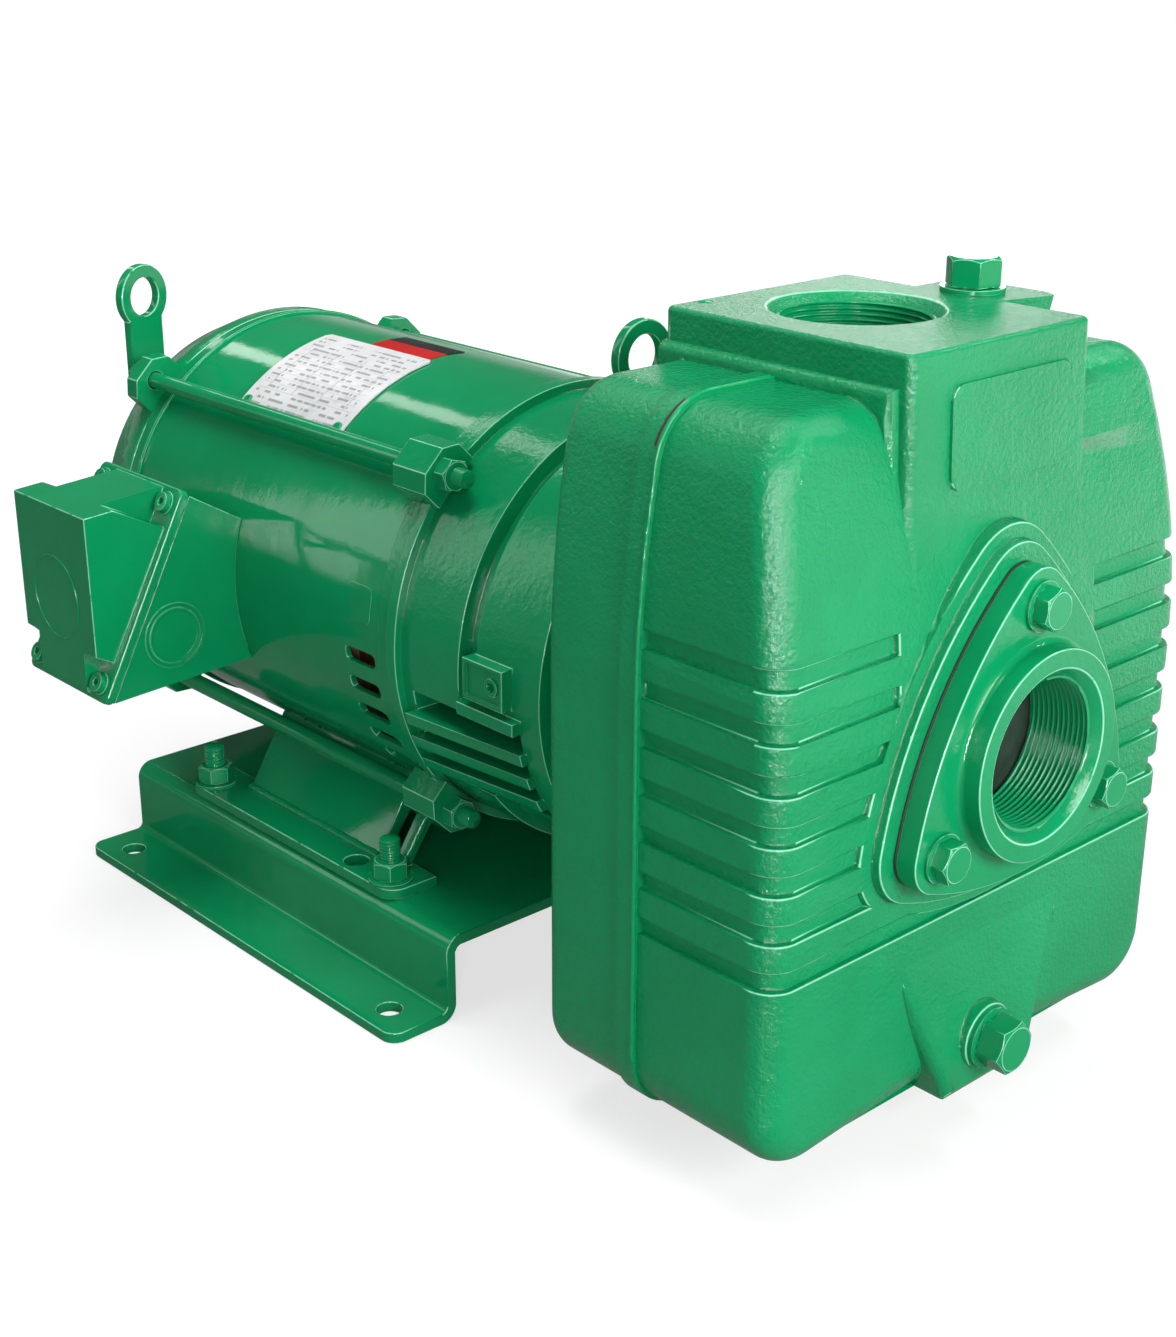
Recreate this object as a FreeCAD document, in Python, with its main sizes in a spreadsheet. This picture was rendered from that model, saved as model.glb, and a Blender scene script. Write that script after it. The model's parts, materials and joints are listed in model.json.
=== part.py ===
import FreeCAD, Part
import math
import os
import re
import Sketcher

# Self-priming centrifugal pump, close coupled to an open drip-proof motor on a channel base.
# X runs along the shaft, from the motor towards the suction port. Z is up, and z = 0 is the floor
# under the base. x = 0, y = 0 is the middle of the four floor holes.

DOC = FreeCAD.newDocument("self_priming_pump")
SHEET = DOC.addObject("Spreadsheet::Sheet", "dims")

# Driving dimensions, in millimetres and degrees.
SIZES = {
    # channel base
    "base_length": 248.0, "base_width": 272.0, "base_top_width": 212.4, "base_height": 40.0,
    "base_plate": 5.0, "base_bend": 8.0, "base_corner": 7.0,
    "base_hole_span_x": 209.0, "base_hole_span_y": 245.0, "base_hole_radius": 5.5,
    # motor frame
    "centre_height": 114.3, "foot_span_x": 139.7, "foot_span_y": 190.5, "foot_shift": 2.0,
    "foot_end": 11.15, "foot_edge": 9.0, "foot_depth": 26.0, "foot_plate": 5.0,
    "foot_web_length": 102.0, "foot_web_outer": 86.0, "foot_corner": 9.0, "foot_hole_radius": 5.6,
    "short_span_x": 114.3, "web_inner_reach": 56.0, "web_inner_drop": 76.0, "web_outer_reach": 64.0,
    "web_outer_drop": 73.0, "gusset_reach": 66.5, "gusset_drop": 80.0, "gusset_shift": 64.0,
    "gusset_plate": 6.0,
    "shell_radius": 98.5, "shell_wall": 3.0, "shell_rear": -130.0, "shell_front": 73.5,
    "vent_length": 20.5, "vent_height": 6.6, "vent_gap": 4.0, "vent_pitch": 8.3, "vent_drop": 8.1,
    "vent_count": 5.0, "vent_cut": 20.0, "vent_round": 2.2,
    "bell_depth": 42.0, "bell_rim": 8.0, "bell_wall": 6.0, "spigot_length": 6.0,
    "bell_knee": 10.0, "bell_knee_fall": 8.0, "bell_nose": 2.0, "bell_nose_fall": 25.0, "bell_float": 1.0,
    "bell_vent_half": 4.0, "bell_vent_count": 9.0, "bell_vent_fall": 28.0, "bell_vent_rise": 5.0,
    "bell_vent_depth": 14.0, "rear_lug_length": 9.5, "rear_lug_lap": 10.0, "lug_bevel": 0.45, "lug_top": 0.5,
    "rim_length": 8.0, "rim_rise": 0.8, "bead_width": 6.0, "bead_rise": 2.5, "bracket_length": 96.5,
    "bracket_radius": 97.0,
    "bracket_step": 50.5, "groove_width": 7.0, "groove_depth": 7.0, "bracket_nose_radius": 94.0,
    "bracket_wall": 8.0, "register_radius": 62.0, "register_length": 2.5,
    "hub_wall": 8.0, "lug_length": 22.0, "lug_lap": 3.5, "lug_reach": 115.0, "lug_half": 13.0,
    "through_bolt_radius": 4.0, "through_bolt_circle": 106.5, "through_nut_flats": 12.7,
    "through_nut_height": 7.0, "bolt_stub": 7.0, "hole_clearance": 0.4,
    "louvre_count": 3.0, "louvre_pitch": 11.2, "louvre_first": 8.6, "louvre_second": 22.8,
    "louvre_plate": 5.5, "louvre_inside": 60.0, "louvre_root": 66.0, "louvre_depth": 40.0,
    "louvre_cut": 46.0, "louvre_margin": 1.0, "louvre_front": 13.0, "louvre_rise": 6.0,
    "louvre_fall": 0.5, "short_bar_rise": 4.5,
    "boss_length": 24.5, "boss_height": 17.5, "boss_lift": 3.3, "boss_depth": 12.0, "boss_rise": 5.0,
    "boss_shift": 67.75, "boss_frame": 2.2, "boss_recess": 1.5, "plug_radius": 3.8, "plug_shift": 4.75,
    "plug_set": 0.5, "bracket_plug_length": 12.0, "plug_socket": 4.0,
    # lifting eyes
    "eye_radius": 15.5, "eye_hole": 9.2, "eye_plate": 5.0, "eye_stem": 22.0, "eye_turn": 15.0,
    "rear_eye_x": -158.0, "rear_eye_y": -64.0, "rear_eye_height": 110.7, "rear_eye_reach": 45.5,
    "front_eye_x": 127.5, "front_eye_height": 118.3, "front_eye_reach": 32.0,
    # nameplate and conduit box
    "plate_length": 79.0, "plate_start": 46.0, "plate_sweep": 36.0, "plate_rear": -72.0,
    "plate_thickness": 0.8, "plate_gap": 0.3,
    "box_front": -34.0, "box_length": 66.0, "box_low_reach": 164.5, "box_bottom": -39.5,
    "box_top": 47.0, "box_split_reach": 119.5, "box_wall": 2.5, "box_shoulder": 28.0,
    "box_gasket": 1.0, "cover_flange": 4.5, "cover_margin": 2.0, "cover_peak": 73.0,
    "cover_overhang": 1.5, "cover_corner": 4.0, "cover_rim": 1.5, "cover_lip": 6.0, "cover_foot": 2.0,
    "cover_height": 44.0, "cover_pocket": 13.0, "cover_pocket_depth": 17.0,
    "box_root_low": 92.0, "box_root_high": 88.0, "box_root_rise": 4.0, "box_hollow_reach": 99.0,
    "knockout_radius": 15.5, "knockout_rise": 0.8, "knockout_inset": 32.5, "knockout_drop": 15.0,
    "box_screw_head": 4.6, "box_screw_inset": 6.5, "box_screw_rise": 3.5,
    # electrical parts
    "stator_rear": -58.0, "stator_length": 100.0, "stator_bore": 62.5, "air_gap": 0.5,
    "winding_length": 26.0, "winding_outer": 89.0, "winding_inner": 67.0, "end_ring": 12.0,
    "end_ring_wall": 12.0, "end_ring_margin": 4.0,
    "fan_rear": -118.0, "fan_length": 20.0, "fan_radius": 80.0, "fan_blades": 7.0, "fan_disc": 3.0,
    "fan_hub": 8.0, "fan_blade_half": 1.5,
    # shaft, bearings and seal
    "shaft_radius": 14.0, "shaft_core_radius": 18.0, "shaft_rear": -151.0, "stub_radius": 10.0,
    "bearing_outer": 36.0, "bearing_width": 18.0, "ball_circle": 25.0, "ball_radius": 5.2,
    "race_clearance": 0.4, "bearing_fit": 0.1, "ball_count": 9.0, "rear_bearing_x": -152.0,
    "front_bearing_x": 148.0, "running_gap": 0.4, "seat_gap": 0.3,
    "seat_radius": 30.0, "seat_length": 7.0, "head_radius": 22.0, "head_length": 9.0,
    "seal_depth": 17.5, "bellows_gap": 0.2, "bellows_crest": 1.0, "bellows_root": 3.5,
    # pump end
    "adapter_radius": 93.0, "adapter_gap": 3.0, "adapter_rear": 172.5, "gasket_sheet": 1.5,
    "casing_rear": 200.0, "casing_front": 317.0, "casing_bottom": 21.0, "casing_top": 292.0,
    "casing_half": 118.0, "casing_shoulder": 188.0, "casing_swell": 440.0, "casing_wall": 8.0,
    "casing_corner": 24.0, "casing_round": 20.0, "casing_rear_round": 7.0, "lean_start": 168.0,
    "lean_radius": 390.0,
    "band_start": 242.0, "band_width": 9.0, "band_rise": 1.6,
    "rib_bottom": 98.0, "rib_pitch": 18.3, "rib_height": 7.5, "rib_depth": 2.6, "rib_count": 7.0,
    "rib_through_count": 2.0, "rib_gap_half": 57.0,
    "opening_radius": 80.0, "spigot_fit": 0.3, "volute_wall": 6.0, "eye_plate_x": 240.0,
    "eye_wall": 8.0, "eye_bore": 32.0, "duct_bore": 45.0, "throat_half": 18.0,
    "return_hole": 6.0, "throat_height": 40.0,
    "block_rear": 191.0, "block_front": 307.5, "block_half": 50.5, "block_top": 309.0,
    "block_bottom": 268.0, "block_round": 4.0, "column_foot": 110.0, "column_rear": 280.0,
    "column_bend": 257.0, "column_bend_x": 310.0, "skirt_step": 4.5, "skirt_top": 297.0,
    "skirt_rear_step": 2.0, "skirt_front_step": 5.0,
    "port_radius": 29.2, "port_mouth": 33.0, "port_chamfer": 4.0, "discharge_x": 240.0,
    "dimple_x": 196.0, "dimple_y": 34.4, "dimple_radius": 2.5, "dimple_depth": 1.5,
    "panel_near": 30.0, "panel_far": 38.0, "panel_low": 259.0, "panel_high": 296.0,
    "panel_rise": 1.2, "panel_round": 6.0, "panel_start": 6.0, "panel_depth": 14.0,
    "fill_x": 248.0, "fill_y": 58.0, "fill_pad_half": 20.0, "fill_pad_top": 309.0,
    "fill_pad_depth": 27.0, "fill_pad_round": 5.0, "keel_top": 84.0, "keel_top_half": 52.0,
    "keel_half": 24.0, "keel_reach": 8.0, "keel_low": 34.0, "keel_round": 5.0, "keel_root": 30.0,
    "keel_heel": 8.0, "keel_heel_rise": 6.0, "keel_toe": 3.0, "keel_toe_rise": 4.0,
    "drain_height": 43.0, "drain_shift": 4.0, "drain_boss": 13.5, "drain_boss_rise": 1.5,
    "plug_shank": 8.0, "plug_flats": 19.0, "plug_head": 11.0, "plug_length": 20.0,
    "plug_washer": 12.5, "washer_sheet": 2.0, "plug_gap": 0.3,
    # suction flange and flap valve
    "suction_height": 162.0, "pad_rise": 4.0, "pad_margin": 7.0, "land_margin": 13.0,
    "suction_gasket": 1.0, "flange_plate": 9.0, "flange_bulge": 50.0, "flange_corner": 14.0,
    "flange_bolt_circle": 55.0, "suction_boss": 40.3, "suction_boss_length": 9.0,
    "boss_fillet": 2.5, "suction_spigot": 43.5, "suction_spigot_depth": 12.0, "flange_bolt_radius": 4.8,
    "flange_bolt_flats": 14.3,
    "flange_bolt_head": 6.5, "flange_bolt_length": 24.0, "flange_washer": 9.5,
    "flange_washer_sheet": 1.5,
    "flap_radius": 32.0, "flap_sheet": 4.0, "flap_weight_radius": 22.0, "flap_weight_sheet": 6.0,
    "flap_pin_height": 36.5, "flap_pin_radius": 2.0, "flap_pin_half": 19.5, "pin_fit": 0.08,
    "flap_strap_root": 20.0, "flap_knuckle": 4.2, "flap_knuckle_half": 15.0, "flap_ear": 4.0,
    "flap_ear_radius": 3.6,
    # impeller
    "impeller_radius": 74.0, "impeller_hub": 20.0, "impeller_plate": 4.6, "impeller_x": 213.5,
    "vane_radius": 52.0, "vane_offset": 37.0, "vane_sheet": 4.0, "vane_count": 5.0,
    "vane_sweep": 92.0, "vane_start": 68.0, "tip_gap": 0.5, "hub_setback": 12.0,
    "impeller_bolt_flats": 16.0, "impeller_bolt_head": 6.0, "shaft_setback": 12.0,
    # fasteners
    "foot_stud_radius": 4.76, "foot_nut_flats": 14.3, "foot_nut_height": 8.3, "foot_washer": 10.0,
    "foot_washer_sheet": 1.6, "foot_stud_stub": 10.0,
    "adapter_bolt_circle": 86.0, "adapter_bolt_radius": 3.2, "adapter_bolt_flats": 11.1,
    "adapter_bolt_head": 5.0, "adapter_bolt_count": 6.0, "adapter_bolt_seat": 8.0,
    "adapter_notch": 8.0, "adapter_bolt_tip": 7.0,
}

for row, (alias, size) in enumerate(SIZES.items(), start=1):
    SHEET.set("A%d" % row, alias)
    SHEET.set("B%d" % row, repr(size))
    SHEET.setAlias("B%d" % row, alias)
DOC.recompute()

# Places worked out from the driving dimensions, as expressions.
AXIS_Z = "(base_height + centre_height)"
FOOT_TOP = "(base_height + foot_plate)"
FOOT_LENGTH = "(foot_span_x + 2 * foot_end)"
FOOT_REAR = "(foot_shift - foot_span_x / 2 - foot_end)"
BELL_REAR = "(shell_rear - bell_depth)"
SHELL_BORE = "(shell_radius - shell_wall)"
BRACKET_END = "(shell_front + bracket_length)"
BEAD_REAR = "(shell_front + rim_length)"
BEAD_FRONT = "(shell_front + rim_length + bead_width)"
LUG_REAR = "(shell_rear - rear_lug_lap)"
LUG_FRONT = "(shell_front - lug_lap)"
LUG_FACE = "(shell_front - lug_lap + lug_length)"
ADAPTER_FRONT = "(casing_rear - gasket_sheet)"
CAVITY_REAR = "(casing_rear + casing_wall)"
FLANGE_BACK = "(casing_front + pad_rise + suction_gasket)"
FLANGE_FACE = "(casing_front + pad_rise + suction_gasket + flange_plate)"
SUCTION_FACE = "(casing_front + pad_rise + suction_gasket + flange_plate + suction_boss_length)"
STATOR_FRONT = "(stator_rear + stator_length)"
SPIGOT_END = "(casing_front + pad_rise + suction_gasket - suction_spigot_depth)"
PIN_X = "(casing_front + pad_rise + suction_gasket - suction_spigot_depth - flap_knuckle - seat_gap)"
PIN_Z = "(suction_height + flap_pin_height)"
HEX = "0.57735"
DIAGONAL = "0.70711"


def ex(text):
    """Write the sheet's name before each alias in a plain expression."""
    return re.sub(r"[a-z][a-z_]*", lambda m: "dims." + m.group(0) if m.group(0) in SIZES else m.group(0),
                  str(text))


def value(text):
    """Number that an expression has now."""
    return float(SHEET.evalExpression(ex(text)))


def bind(item, **properties):
    """Tie an object's properties to expressions, or to plain zero."""
    for name, text in properties.items():
        item.setExpression(name.replace("__", "."), ex(text))


def place(item, x="0", y="0", z="0"):
    for axis, text in (("x", x), ("y", y), ("z", z)):
        if str(text) != "0":
            item.setExpression("Placement.Base." + axis, ex(text))


TURNS = {
    "+Z": FreeCAD.Rotation(),
    "-Z": FreeCAD.Rotation(FreeCAD.Vector(1, 0, 0), 180),
    "+X": FreeCAD.Rotation(FreeCAD.Vector(0, 1, 0), 90),
    "-X": FreeCAD.Rotation(FreeCAD.Vector(0, 1, 0), -90),
    "+Y": FreeCAD.Rotation(FreeCAD.Vector(1, 0, 0), -90),
    "-Y": FreeCAD.Rotation(FreeCAD.Vector(1, 0, 0), 90),
}


def turn(item, rotation):
    item.Placement = FreeCAD.Placement(item.Placement.Base, rotation)


# Part primitives and booleans

def cylinder(name, radius, height, x="0", y="0", z="0", along="+Z", sweep=None):
    item = DOC.addObject("Part::Cylinder", name)
    turn(item, TURNS[along])
    bind(item, Radius=radius, Height=height)
    if sweep:
        bind(item, Angle=sweep)
    place(item, x, y, z)
    return item


def cone(name, radius, end_radius, height, x="0", y="0", z="0", along="+Z"):
    item = DOC.addObject("Part::Cone", name)
    turn(item, TURNS[along])
    bind(item, Radius1=radius, Radius2=end_radius, Height=height)
    place(item, x, y, z)
    return item


def hexagon(name, flats, height, x="0", y="0", z="0", along="+Z"):
    item = DOC.addObject("Part::Prism", name)
    item.Polygon = 6
    turn(item, TURNS[along])
    bind(item, Circumradius="%s * %s" % (flats, HEX), Height=height)
    place(item, x, y, z)
    return item


def block(name, length, width, height, x="0", y="0", z="0"):
    item = DOC.addObject("Part::Box", name)
    bind(item, Length=length, Width=width, Height=height)
    place(item, x, y, z)
    return item


def torus(name, ring, section, x="0", z="0"):
    item = DOC.addObject("Part::Torus", name)
    turn(item, TURNS["+X"])
    bind(item, Radius1=ring, Radius2=section)
    place(item, x, "0", z)
    return item


def fuse(name, members):
    item = DOC.addObject("Part::MultiFuse", name)
    item.Shapes = members
    item.Refine = True
    return item


def cut(name, base, tool):
    item = DOC.addObject("Part::Cut", name)
    item.Base = base
    item.Tool = tool
    item.Refine = True
    return item


def common(name, members):
    item = DOC.addObject("Part::MultiCommon", name)
    item.Shapes = members
    return item


def group(name, members):
    """Identical pieces that share one node as separate solids."""
    item = DOC.addObject("Part::Compound", name)
    item.Links = members
    return item


def round_edges(name, base, radius, test):
    """Part fillet on the edges that the test picks."""
    DOC.recompute()
    item = DOC.addObject("Part::Fillet", name)
    item.Base = base
    size = value(radius)
    item.Edges = [(number, size, size) for number, edge in enumerate(base.Shape.Edges, start=1)
                  if test(edge)]
    return item


def ring(name, outer, inner, height, x="0", z="0", along="+X"):
    """Tube round the shaft line or any line along X."""
    rim = cylinder(name + "_rim", outer, height, x, "0", z, along)
    bore = cylinder(name + "_bore", inner, height, x, "0", z, along)
    return cut(name, rim, bore)


# Bodies, sketches and features

def new_body(name, x="0", y="0", z="0"):
    body = DOC.addObject("PartDesign::Body", name)
    place(body, x, y, z)
    return body


def origin_feature(body, role):
    return [item for item in body.Origin.OriginFeatures if item.Role == role][0]


def sketch_on(body, role, name, offset=None):
    sketch = body.newObject("Sketcher::SketchObject", name)
    sketch.AttachmentSupport = (origin_feature(body, role), [""])
    sketch.MapMode = "FlatFace"
    if offset:
        sketch.setExpression("AttachmentOffset.Base.z", ex(offset))
    return sketch


def fix(sketch, kind, where, text):
    """Constraint whose size comes from an expression."""
    index = sketch.addConstraint(Sketcher.Constraint(kind, *where, value(text)))
    if re.search("[a-z]", str(text)):
        sketch.setExpression("Constraints[%d]" % index, ex(text))


def polygon(sketch, corners):
    """Closed outline. Each corner is a pair of expressions in the sketch's own axes."""
    points = [FreeCAD.Vector(value(u), value(v), 0) for u, v in corners]
    count = len(points)
    first = sketch.GeometryCount
    lines = [Part.LineSegment(points[i], points[(i + 1) % count]) for i in range(count)]
    sketch.addGeometry(lines, False)
    for i in range(count):
        after = first + (i + 1) % count
        sketch.addConstraint(Sketcher.Constraint("Coincident", first + i, 2, after, 1))
    for i, (u, v) in enumerate(corners):
        fix(sketch, "DistanceX", (first + i, 1), u)
        fix(sketch, "DistanceY", (first + i, 1), v)


def curved_outline(sketch, corners, arcs):
    """Closed outline whose listed sides are arcs, each with a centre and a radius, as expressions.

    A corner on an arc is held at its height; the arc settles how far out it lies.
    """
    points = [FreeCAD.Vector(value(u), value(v), 0) for u, v in corners]
    count = len(points)
    ends = []
    for i in range(count):
        first, last = points[i], points[(i + 1) % count]
        if i not in arcs:
            sketch.addGeometry(Part.LineSegment(first, last), False)
            ends.append((1, 2))
            continue
        centre = FreeCAD.Vector(value(arcs[i][0]), value(arcs[i][1]), 0)
        start = math.atan2(first.y - centre.y, first.x - centre.x)
        stop = math.atan2(last.y - centre.y, last.x - centre.x)
        circle_line = Part.Circle(centre, FreeCAD.Vector(0, 0, 1), value(arcs[i][2]))
        forward = (stop - start) % (2 * math.pi) < math.pi
        sketch.addGeometry(Part.ArcOfCircle(circle_line, *((start, stop) if forward else (stop, start))),
                           False)
        ends.append((1, 2) if forward else (2, 1))
    for i in range(count):
        after = (i + 1) % count
        sketch.addConstraint(Sketcher.Constraint("Coincident", i, ends[i][1], after, ends[after][0]))
    for i, (u, v) in enumerate(corners):
        if i not in arcs and (i - 1) % count not in arcs:
            fix(sketch, "DistanceX", (i, ends[i][0]), u)
        fix(sketch, "DistanceY", (i, ends[i][0]), v)
    for i, (u, v, radius) in arcs.items():
        fix(sketch, "DistanceX", (i, 3), u)
        fix(sketch, "DistanceY", (i, 3), v)
        fix(sketch, "Radius", (i,), radius)


def rectangle(sketch, low_u, low_v, high_u, high_v):
    polygon(sketch, [(low_u, low_v), (high_u, low_v), (high_u, high_v), (low_u, high_v)])


def soft_rectangle(sketch, low_u, low_v, high_u, high_v, rounding):
    """Rectangle whose corners are taken off in two short steps each."""
    corners = []
    for u, v, step_u, step_v in ((low_u, low_v, 1, 1), (high_u, low_v, -1, 1), (high_u, high_v, -1, -1),
                                 (low_u, high_v, 1, -1)):
        steps = [(0, 1), (0.293, 0.293), (1, 0)]
        if step_u != step_v:
            steps.reverse()
        for along_u, along_v in steps:
            corners.append(("%s + (%.3f * %s)" % (u, along_u * step_u, rounding),
                            "%s + (%.3f * %s)" % (v, along_v * step_v, rounding)))
    polygon(sketch, corners)


def circle(sketch, radius, u="0", v="0"):
    centre = FreeCAD.Vector(value(u), value(v), 0)
    index = sketch.addGeometry(Part.Circle(centre, FreeCAD.Vector(0, 0, 1), value(radius)), False)
    fix(sketch, "Radius", (index,), radius)
    fix(sketch, "DistanceX", (index, 3), u)
    fix(sketch, "DistanceY", (index, 3), v)


def pad(body, sketch, length, middle=False, back=False):
    feature = body.newObject("PartDesign::Pad", sketch.Name + "_pad")
    feature.Profile = sketch
    bind(feature, Length=length)
    feature.Midplane = middle
    feature.Reversed = back
    DOC.recompute()
    return feature


def pocket(body, sketch, length, middle=False, back=False):
    """Pocket that must remove something."""
    before = body.Shape.Volume
    feature = body.newObject("PartDesign::Pocket", sketch.Name + "_pocket")
    feature.Profile = sketch
    bind(feature, Length=length)
    feature.Midplane = middle
    feature.Reversed = back
    DOC.recompute()
    if body.Shape.Volume > before - 0.01:
        raise RuntimeError(sketch.Name + " cuts nothing")
    return feature


def revolve(body, sketch):
    feature = body.newObject("PartDesign::Revolution", sketch.Name + "_turned")
    feature.Profile = sketch
    feature.ReferenceAxis = (sketch, ["H_Axis"])
    feature.Angle = 360
    DOC.recompute()
    return feature


def turn_away(body, sketch):
    """Cut the profile away all round the shaft line."""
    feature = body.newObject("PartDesign::Groove", sketch.Name + "_turned")
    feature.Profile = sketch
    feature.ReferenceAxis = (sketch, ["H_Axis"])
    feature.Angle = 360
    DOC.recompute()
    return feature


def polar(body, features, count, sweep="360", reverse=False):
    pattern = body.newObject("PartDesign::PolarPattern", features[0].Name + "_around")
    pattern.Originals = features
    pattern.Axis = (origin_feature(body, "X_Axis"), [""])
    pattern.Reversed = reverse
    bind(pattern, Angle=sweep, Occurrences=count)
    body.Tip = pattern
    DOC.recompute()
    return pattern


def round_body(body, radius, test, name):
    """PartDesign fillet on the edges that the test picks."""
    base = body.Tip
    names = ["Edge%d" % number for number, edge in enumerate(base.Shape.Edges, start=1) if test(edge)]
    feature = body.newObject("PartDesign::Fillet", name)
    feature.Base = (base, names)
    bind(feature, Radius=radius)
    DOC.recompute()
    return feature


def runs_along(edge, axis):
    """True for a straight edge along one axis."""
    box = edge.BoundBox
    spans = {"x": box.XLength, "y": box.YLength, "z": box.ZLength}
    return spans[axis] > 0.5 and all(span < 0.01 for key, span in spans.items() if key != axis)


def near(first, second, reach=0.05):
    return abs(first - second) < reach


def middle_of(edge):
    return edge.BoundBox.Center


def turned(name, corners, z=AXIS_Z):
    """Turned piece round the shaft line; each corner is (x, radius)."""
    body = new_body(name, z=z)
    sketch = sketch_on(body, "XZ_Plane", name + "_profile")
    polygon(sketch, corners)
    revolve(body, sketch)
    return body


# Channel base

def make_base():
    body = new_body("base_channel")
    inner = "(base_top_width / 2 - base_plate)"
    profile = sketch_on(body, "YZ_Plane", "base_profile")
    right = [(inner, "0"), ("base_width / 2", "0"), ("base_width / 2", "base_plate"),
             ("base_top_width / 2", "base_plate"), ("base_top_width / 2", "base_height")]
    left = [("-(%s)" % u, v) for u, v in reversed(right)]
    under = [("-" + inner, "base_height - base_plate"), (inner, "base_height - base_plate")]
    polygon(profile, right + left + under)
    pad(body, profile, "base_length", middle=True)
    half = value("base_top_width / 2")
    thick = value("base_plate")
    high = value("base_height")
    round_body(body, "base_bend", lambda e: runs_along(e, "x") and (
        (near(abs(middle_of(e).y), half) and near(middle_of(e).z, high))
        or (near(abs(middle_of(e).y), half - thick) and near(middle_of(e).z, 0))), "base_outer_bends")
    round_body(body, "base_bend - base_plate", lambda e: runs_along(e, "x") and (
        (near(abs(middle_of(e).y), half - thick) and near(middle_of(e).z, high - thick))
        or (near(abs(middle_of(e).y), half) and near(middle_of(e).z, thick))), "base_inner_bends")
    edge_y = value("base_width / 2")
    round_body(body, "base_corner", lambda e: runs_along(e, "z") and near(abs(middle_of(e).y), edge_y),
               "base_corners")
    holes = sketch_on(body, "XY_Plane", "base_holes")
    for side_x in ("", "-"):
        for side_y in ("", "-"):
            circle(holes, "base_hole_radius", side_x + "base_hole_span_x / 2",
                   side_y + "base_hole_span_y / 2")
    for x, y in foot_stud_places():
        circle(holes, "foot_stud_radius", x, y)
    pocket(body, holes, "base_height", back=True)
    return body


# Motor feet: a plate, a sloped web up to the shell and a gusset

def make_foot(name, side):
    body = new_body(name + "_form")
    outer = "foot_span_y / 2 + foot_edge"
    inner = "foot_span_y / 2 + foot_edge - foot_depth"
    sign = "" if side > 0 else "-"
    plate = sketch_on(body, "XY_Plane", name + "_plate", "base_height")
    low, high = "%s(%s)" % (sign, inner), "%s(%s)" % (sign, outer)
    rectangle(plate, FOOT_REAR, low, FOOT_REAR + " + " + FOOT_LENGTH, high)
    pad(body, plate, "foot_plate")
    far = abs(value(outer))
    round_body(body, "foot_corner", lambda e: runs_along(e, "z") and near(abs(middle_of(e).y), far),
               name + "_corners")
    holes = sketch_on(body, "XY_Plane", name + "_holes", "base_height")
    y = sign + "foot_span_y / 2"
    circle(holes, "foot_hole_radius", "foot_shift - foot_span_x / 2", y)
    circle(holes, "foot_hole_radius", "foot_shift + foot_span_x / 2", y)
    circle(holes, "foot_hole_radius", "foot_shift - foot_span_x / 2 + short_span_x", y)
    pocket(body, holes, "foot_plate", back=True)
    web = sketch_on(body, "YZ_Plane", name + "_web")
    polygon(web, [(sign + "foot_web_outer", FOOT_TOP), (sign + "(foot_web_outer - foot_plate)", FOOT_TOP),
                  (sign + "web_inner_reach", AXIS_Z + " - web_inner_drop"),
                  (sign + "web_outer_reach", AXIS_Z + " - web_outer_drop")])
    pad(body, web, "foot_web_length", middle=True)
    gusset = sketch_on(body, "YZ_Plane", name + "_gusset", "gusset_shift")
    polygon(gusset, [(sign + "foot_web_outer", FOOT_TOP), (sign + "(foot_web_outer - gusset_plate)",
                                                           FOOT_TOP),
                     (sign + "web_inner_reach", AXIS_Z + " - web_inner_drop"),
                     (sign + "gusset_reach", AXIS_Z + " - gusset_drop")])
    pad(body, gusset, "gusset_plate", middle=True)
    saddle = cylinder(name + "_saddle", "shell_radius", FOOT_LENGTH, FOOT_REAR, "0", AXIS_Z, "+X")
    return cut(name, body, saddle)


# Motor shell with its vent slots

def make_shell():
    body = new_body("motor_shell", z=AXIS_Z)
    profile = sketch_on(body, "XZ_Plane", "shell_profile")
    rectangle(profile, "shell_rear", SHELL_BORE, "shell_front", "shell_radius")
    revolve(body, profile)
    starts = ("shell_radius - 0.6 * vent_cut", "-(shell_radius + 0.4 * vent_cut)")
    for name, start in zip(("near_vent", "far_vent"), starts):
        slot = sketch_on(body, "XZ_Plane", name, start)
        soft_rectangle(slot, "shell_front - vent_gap - vent_length", "-vent_drop - vent_height / 2",
                       "shell_front - vent_gap", "vent_height / 2 - vent_drop", "vent_round")
        opening = pocket(body, slot, "vent_cut", back=True)
        polar(body, [opening], "vent_count", "vent_pitch * (vent_count - 1)", reverse=start.startswith("-"))
    return body


def diagonal_lug(sketch, low, high, half):
    """Block on the upper far diagonal, seen along X."""
    eave = "%s - %s * lug_bevel" % (high, half)
    roof = "%s * lug_top" % half
    corners = [(low, "-", half), (eave, "-", half), (high, "-", roof), (high, "+", roof), (eave, "+", half),
               (low, "+", half)]
    polygon(sketch, [("%s * (%s %s %s)" % (DIAGONAL, r, "+" if s == "-" else "-", w),
                      "%s * (%s %s %s)" % (DIAGONAL, r, s, w)) for r, s, w in corners])


def add_lugs(body, name, start, length, low):
    sketch = sketch_on(body, "YZ_Plane", name, start)
    diagonal_lug(sketch, low, "lug_reach", "lug_half")
    feature = pad(body, sketch, length)
    polar(body, [feature], "4")


def drill_lugs(body, name, start, length):
    sketch = sketch_on(body, "YZ_Plane", name, start)
    reach = "%s * through_bolt_circle" % DIAGONAL
    circle(sketch, "through_bolt_radius + hole_clearance", reach, reach)
    feature = pocket(body, sketch, length, back=True)
    polar(body, [feature], "4")


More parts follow.
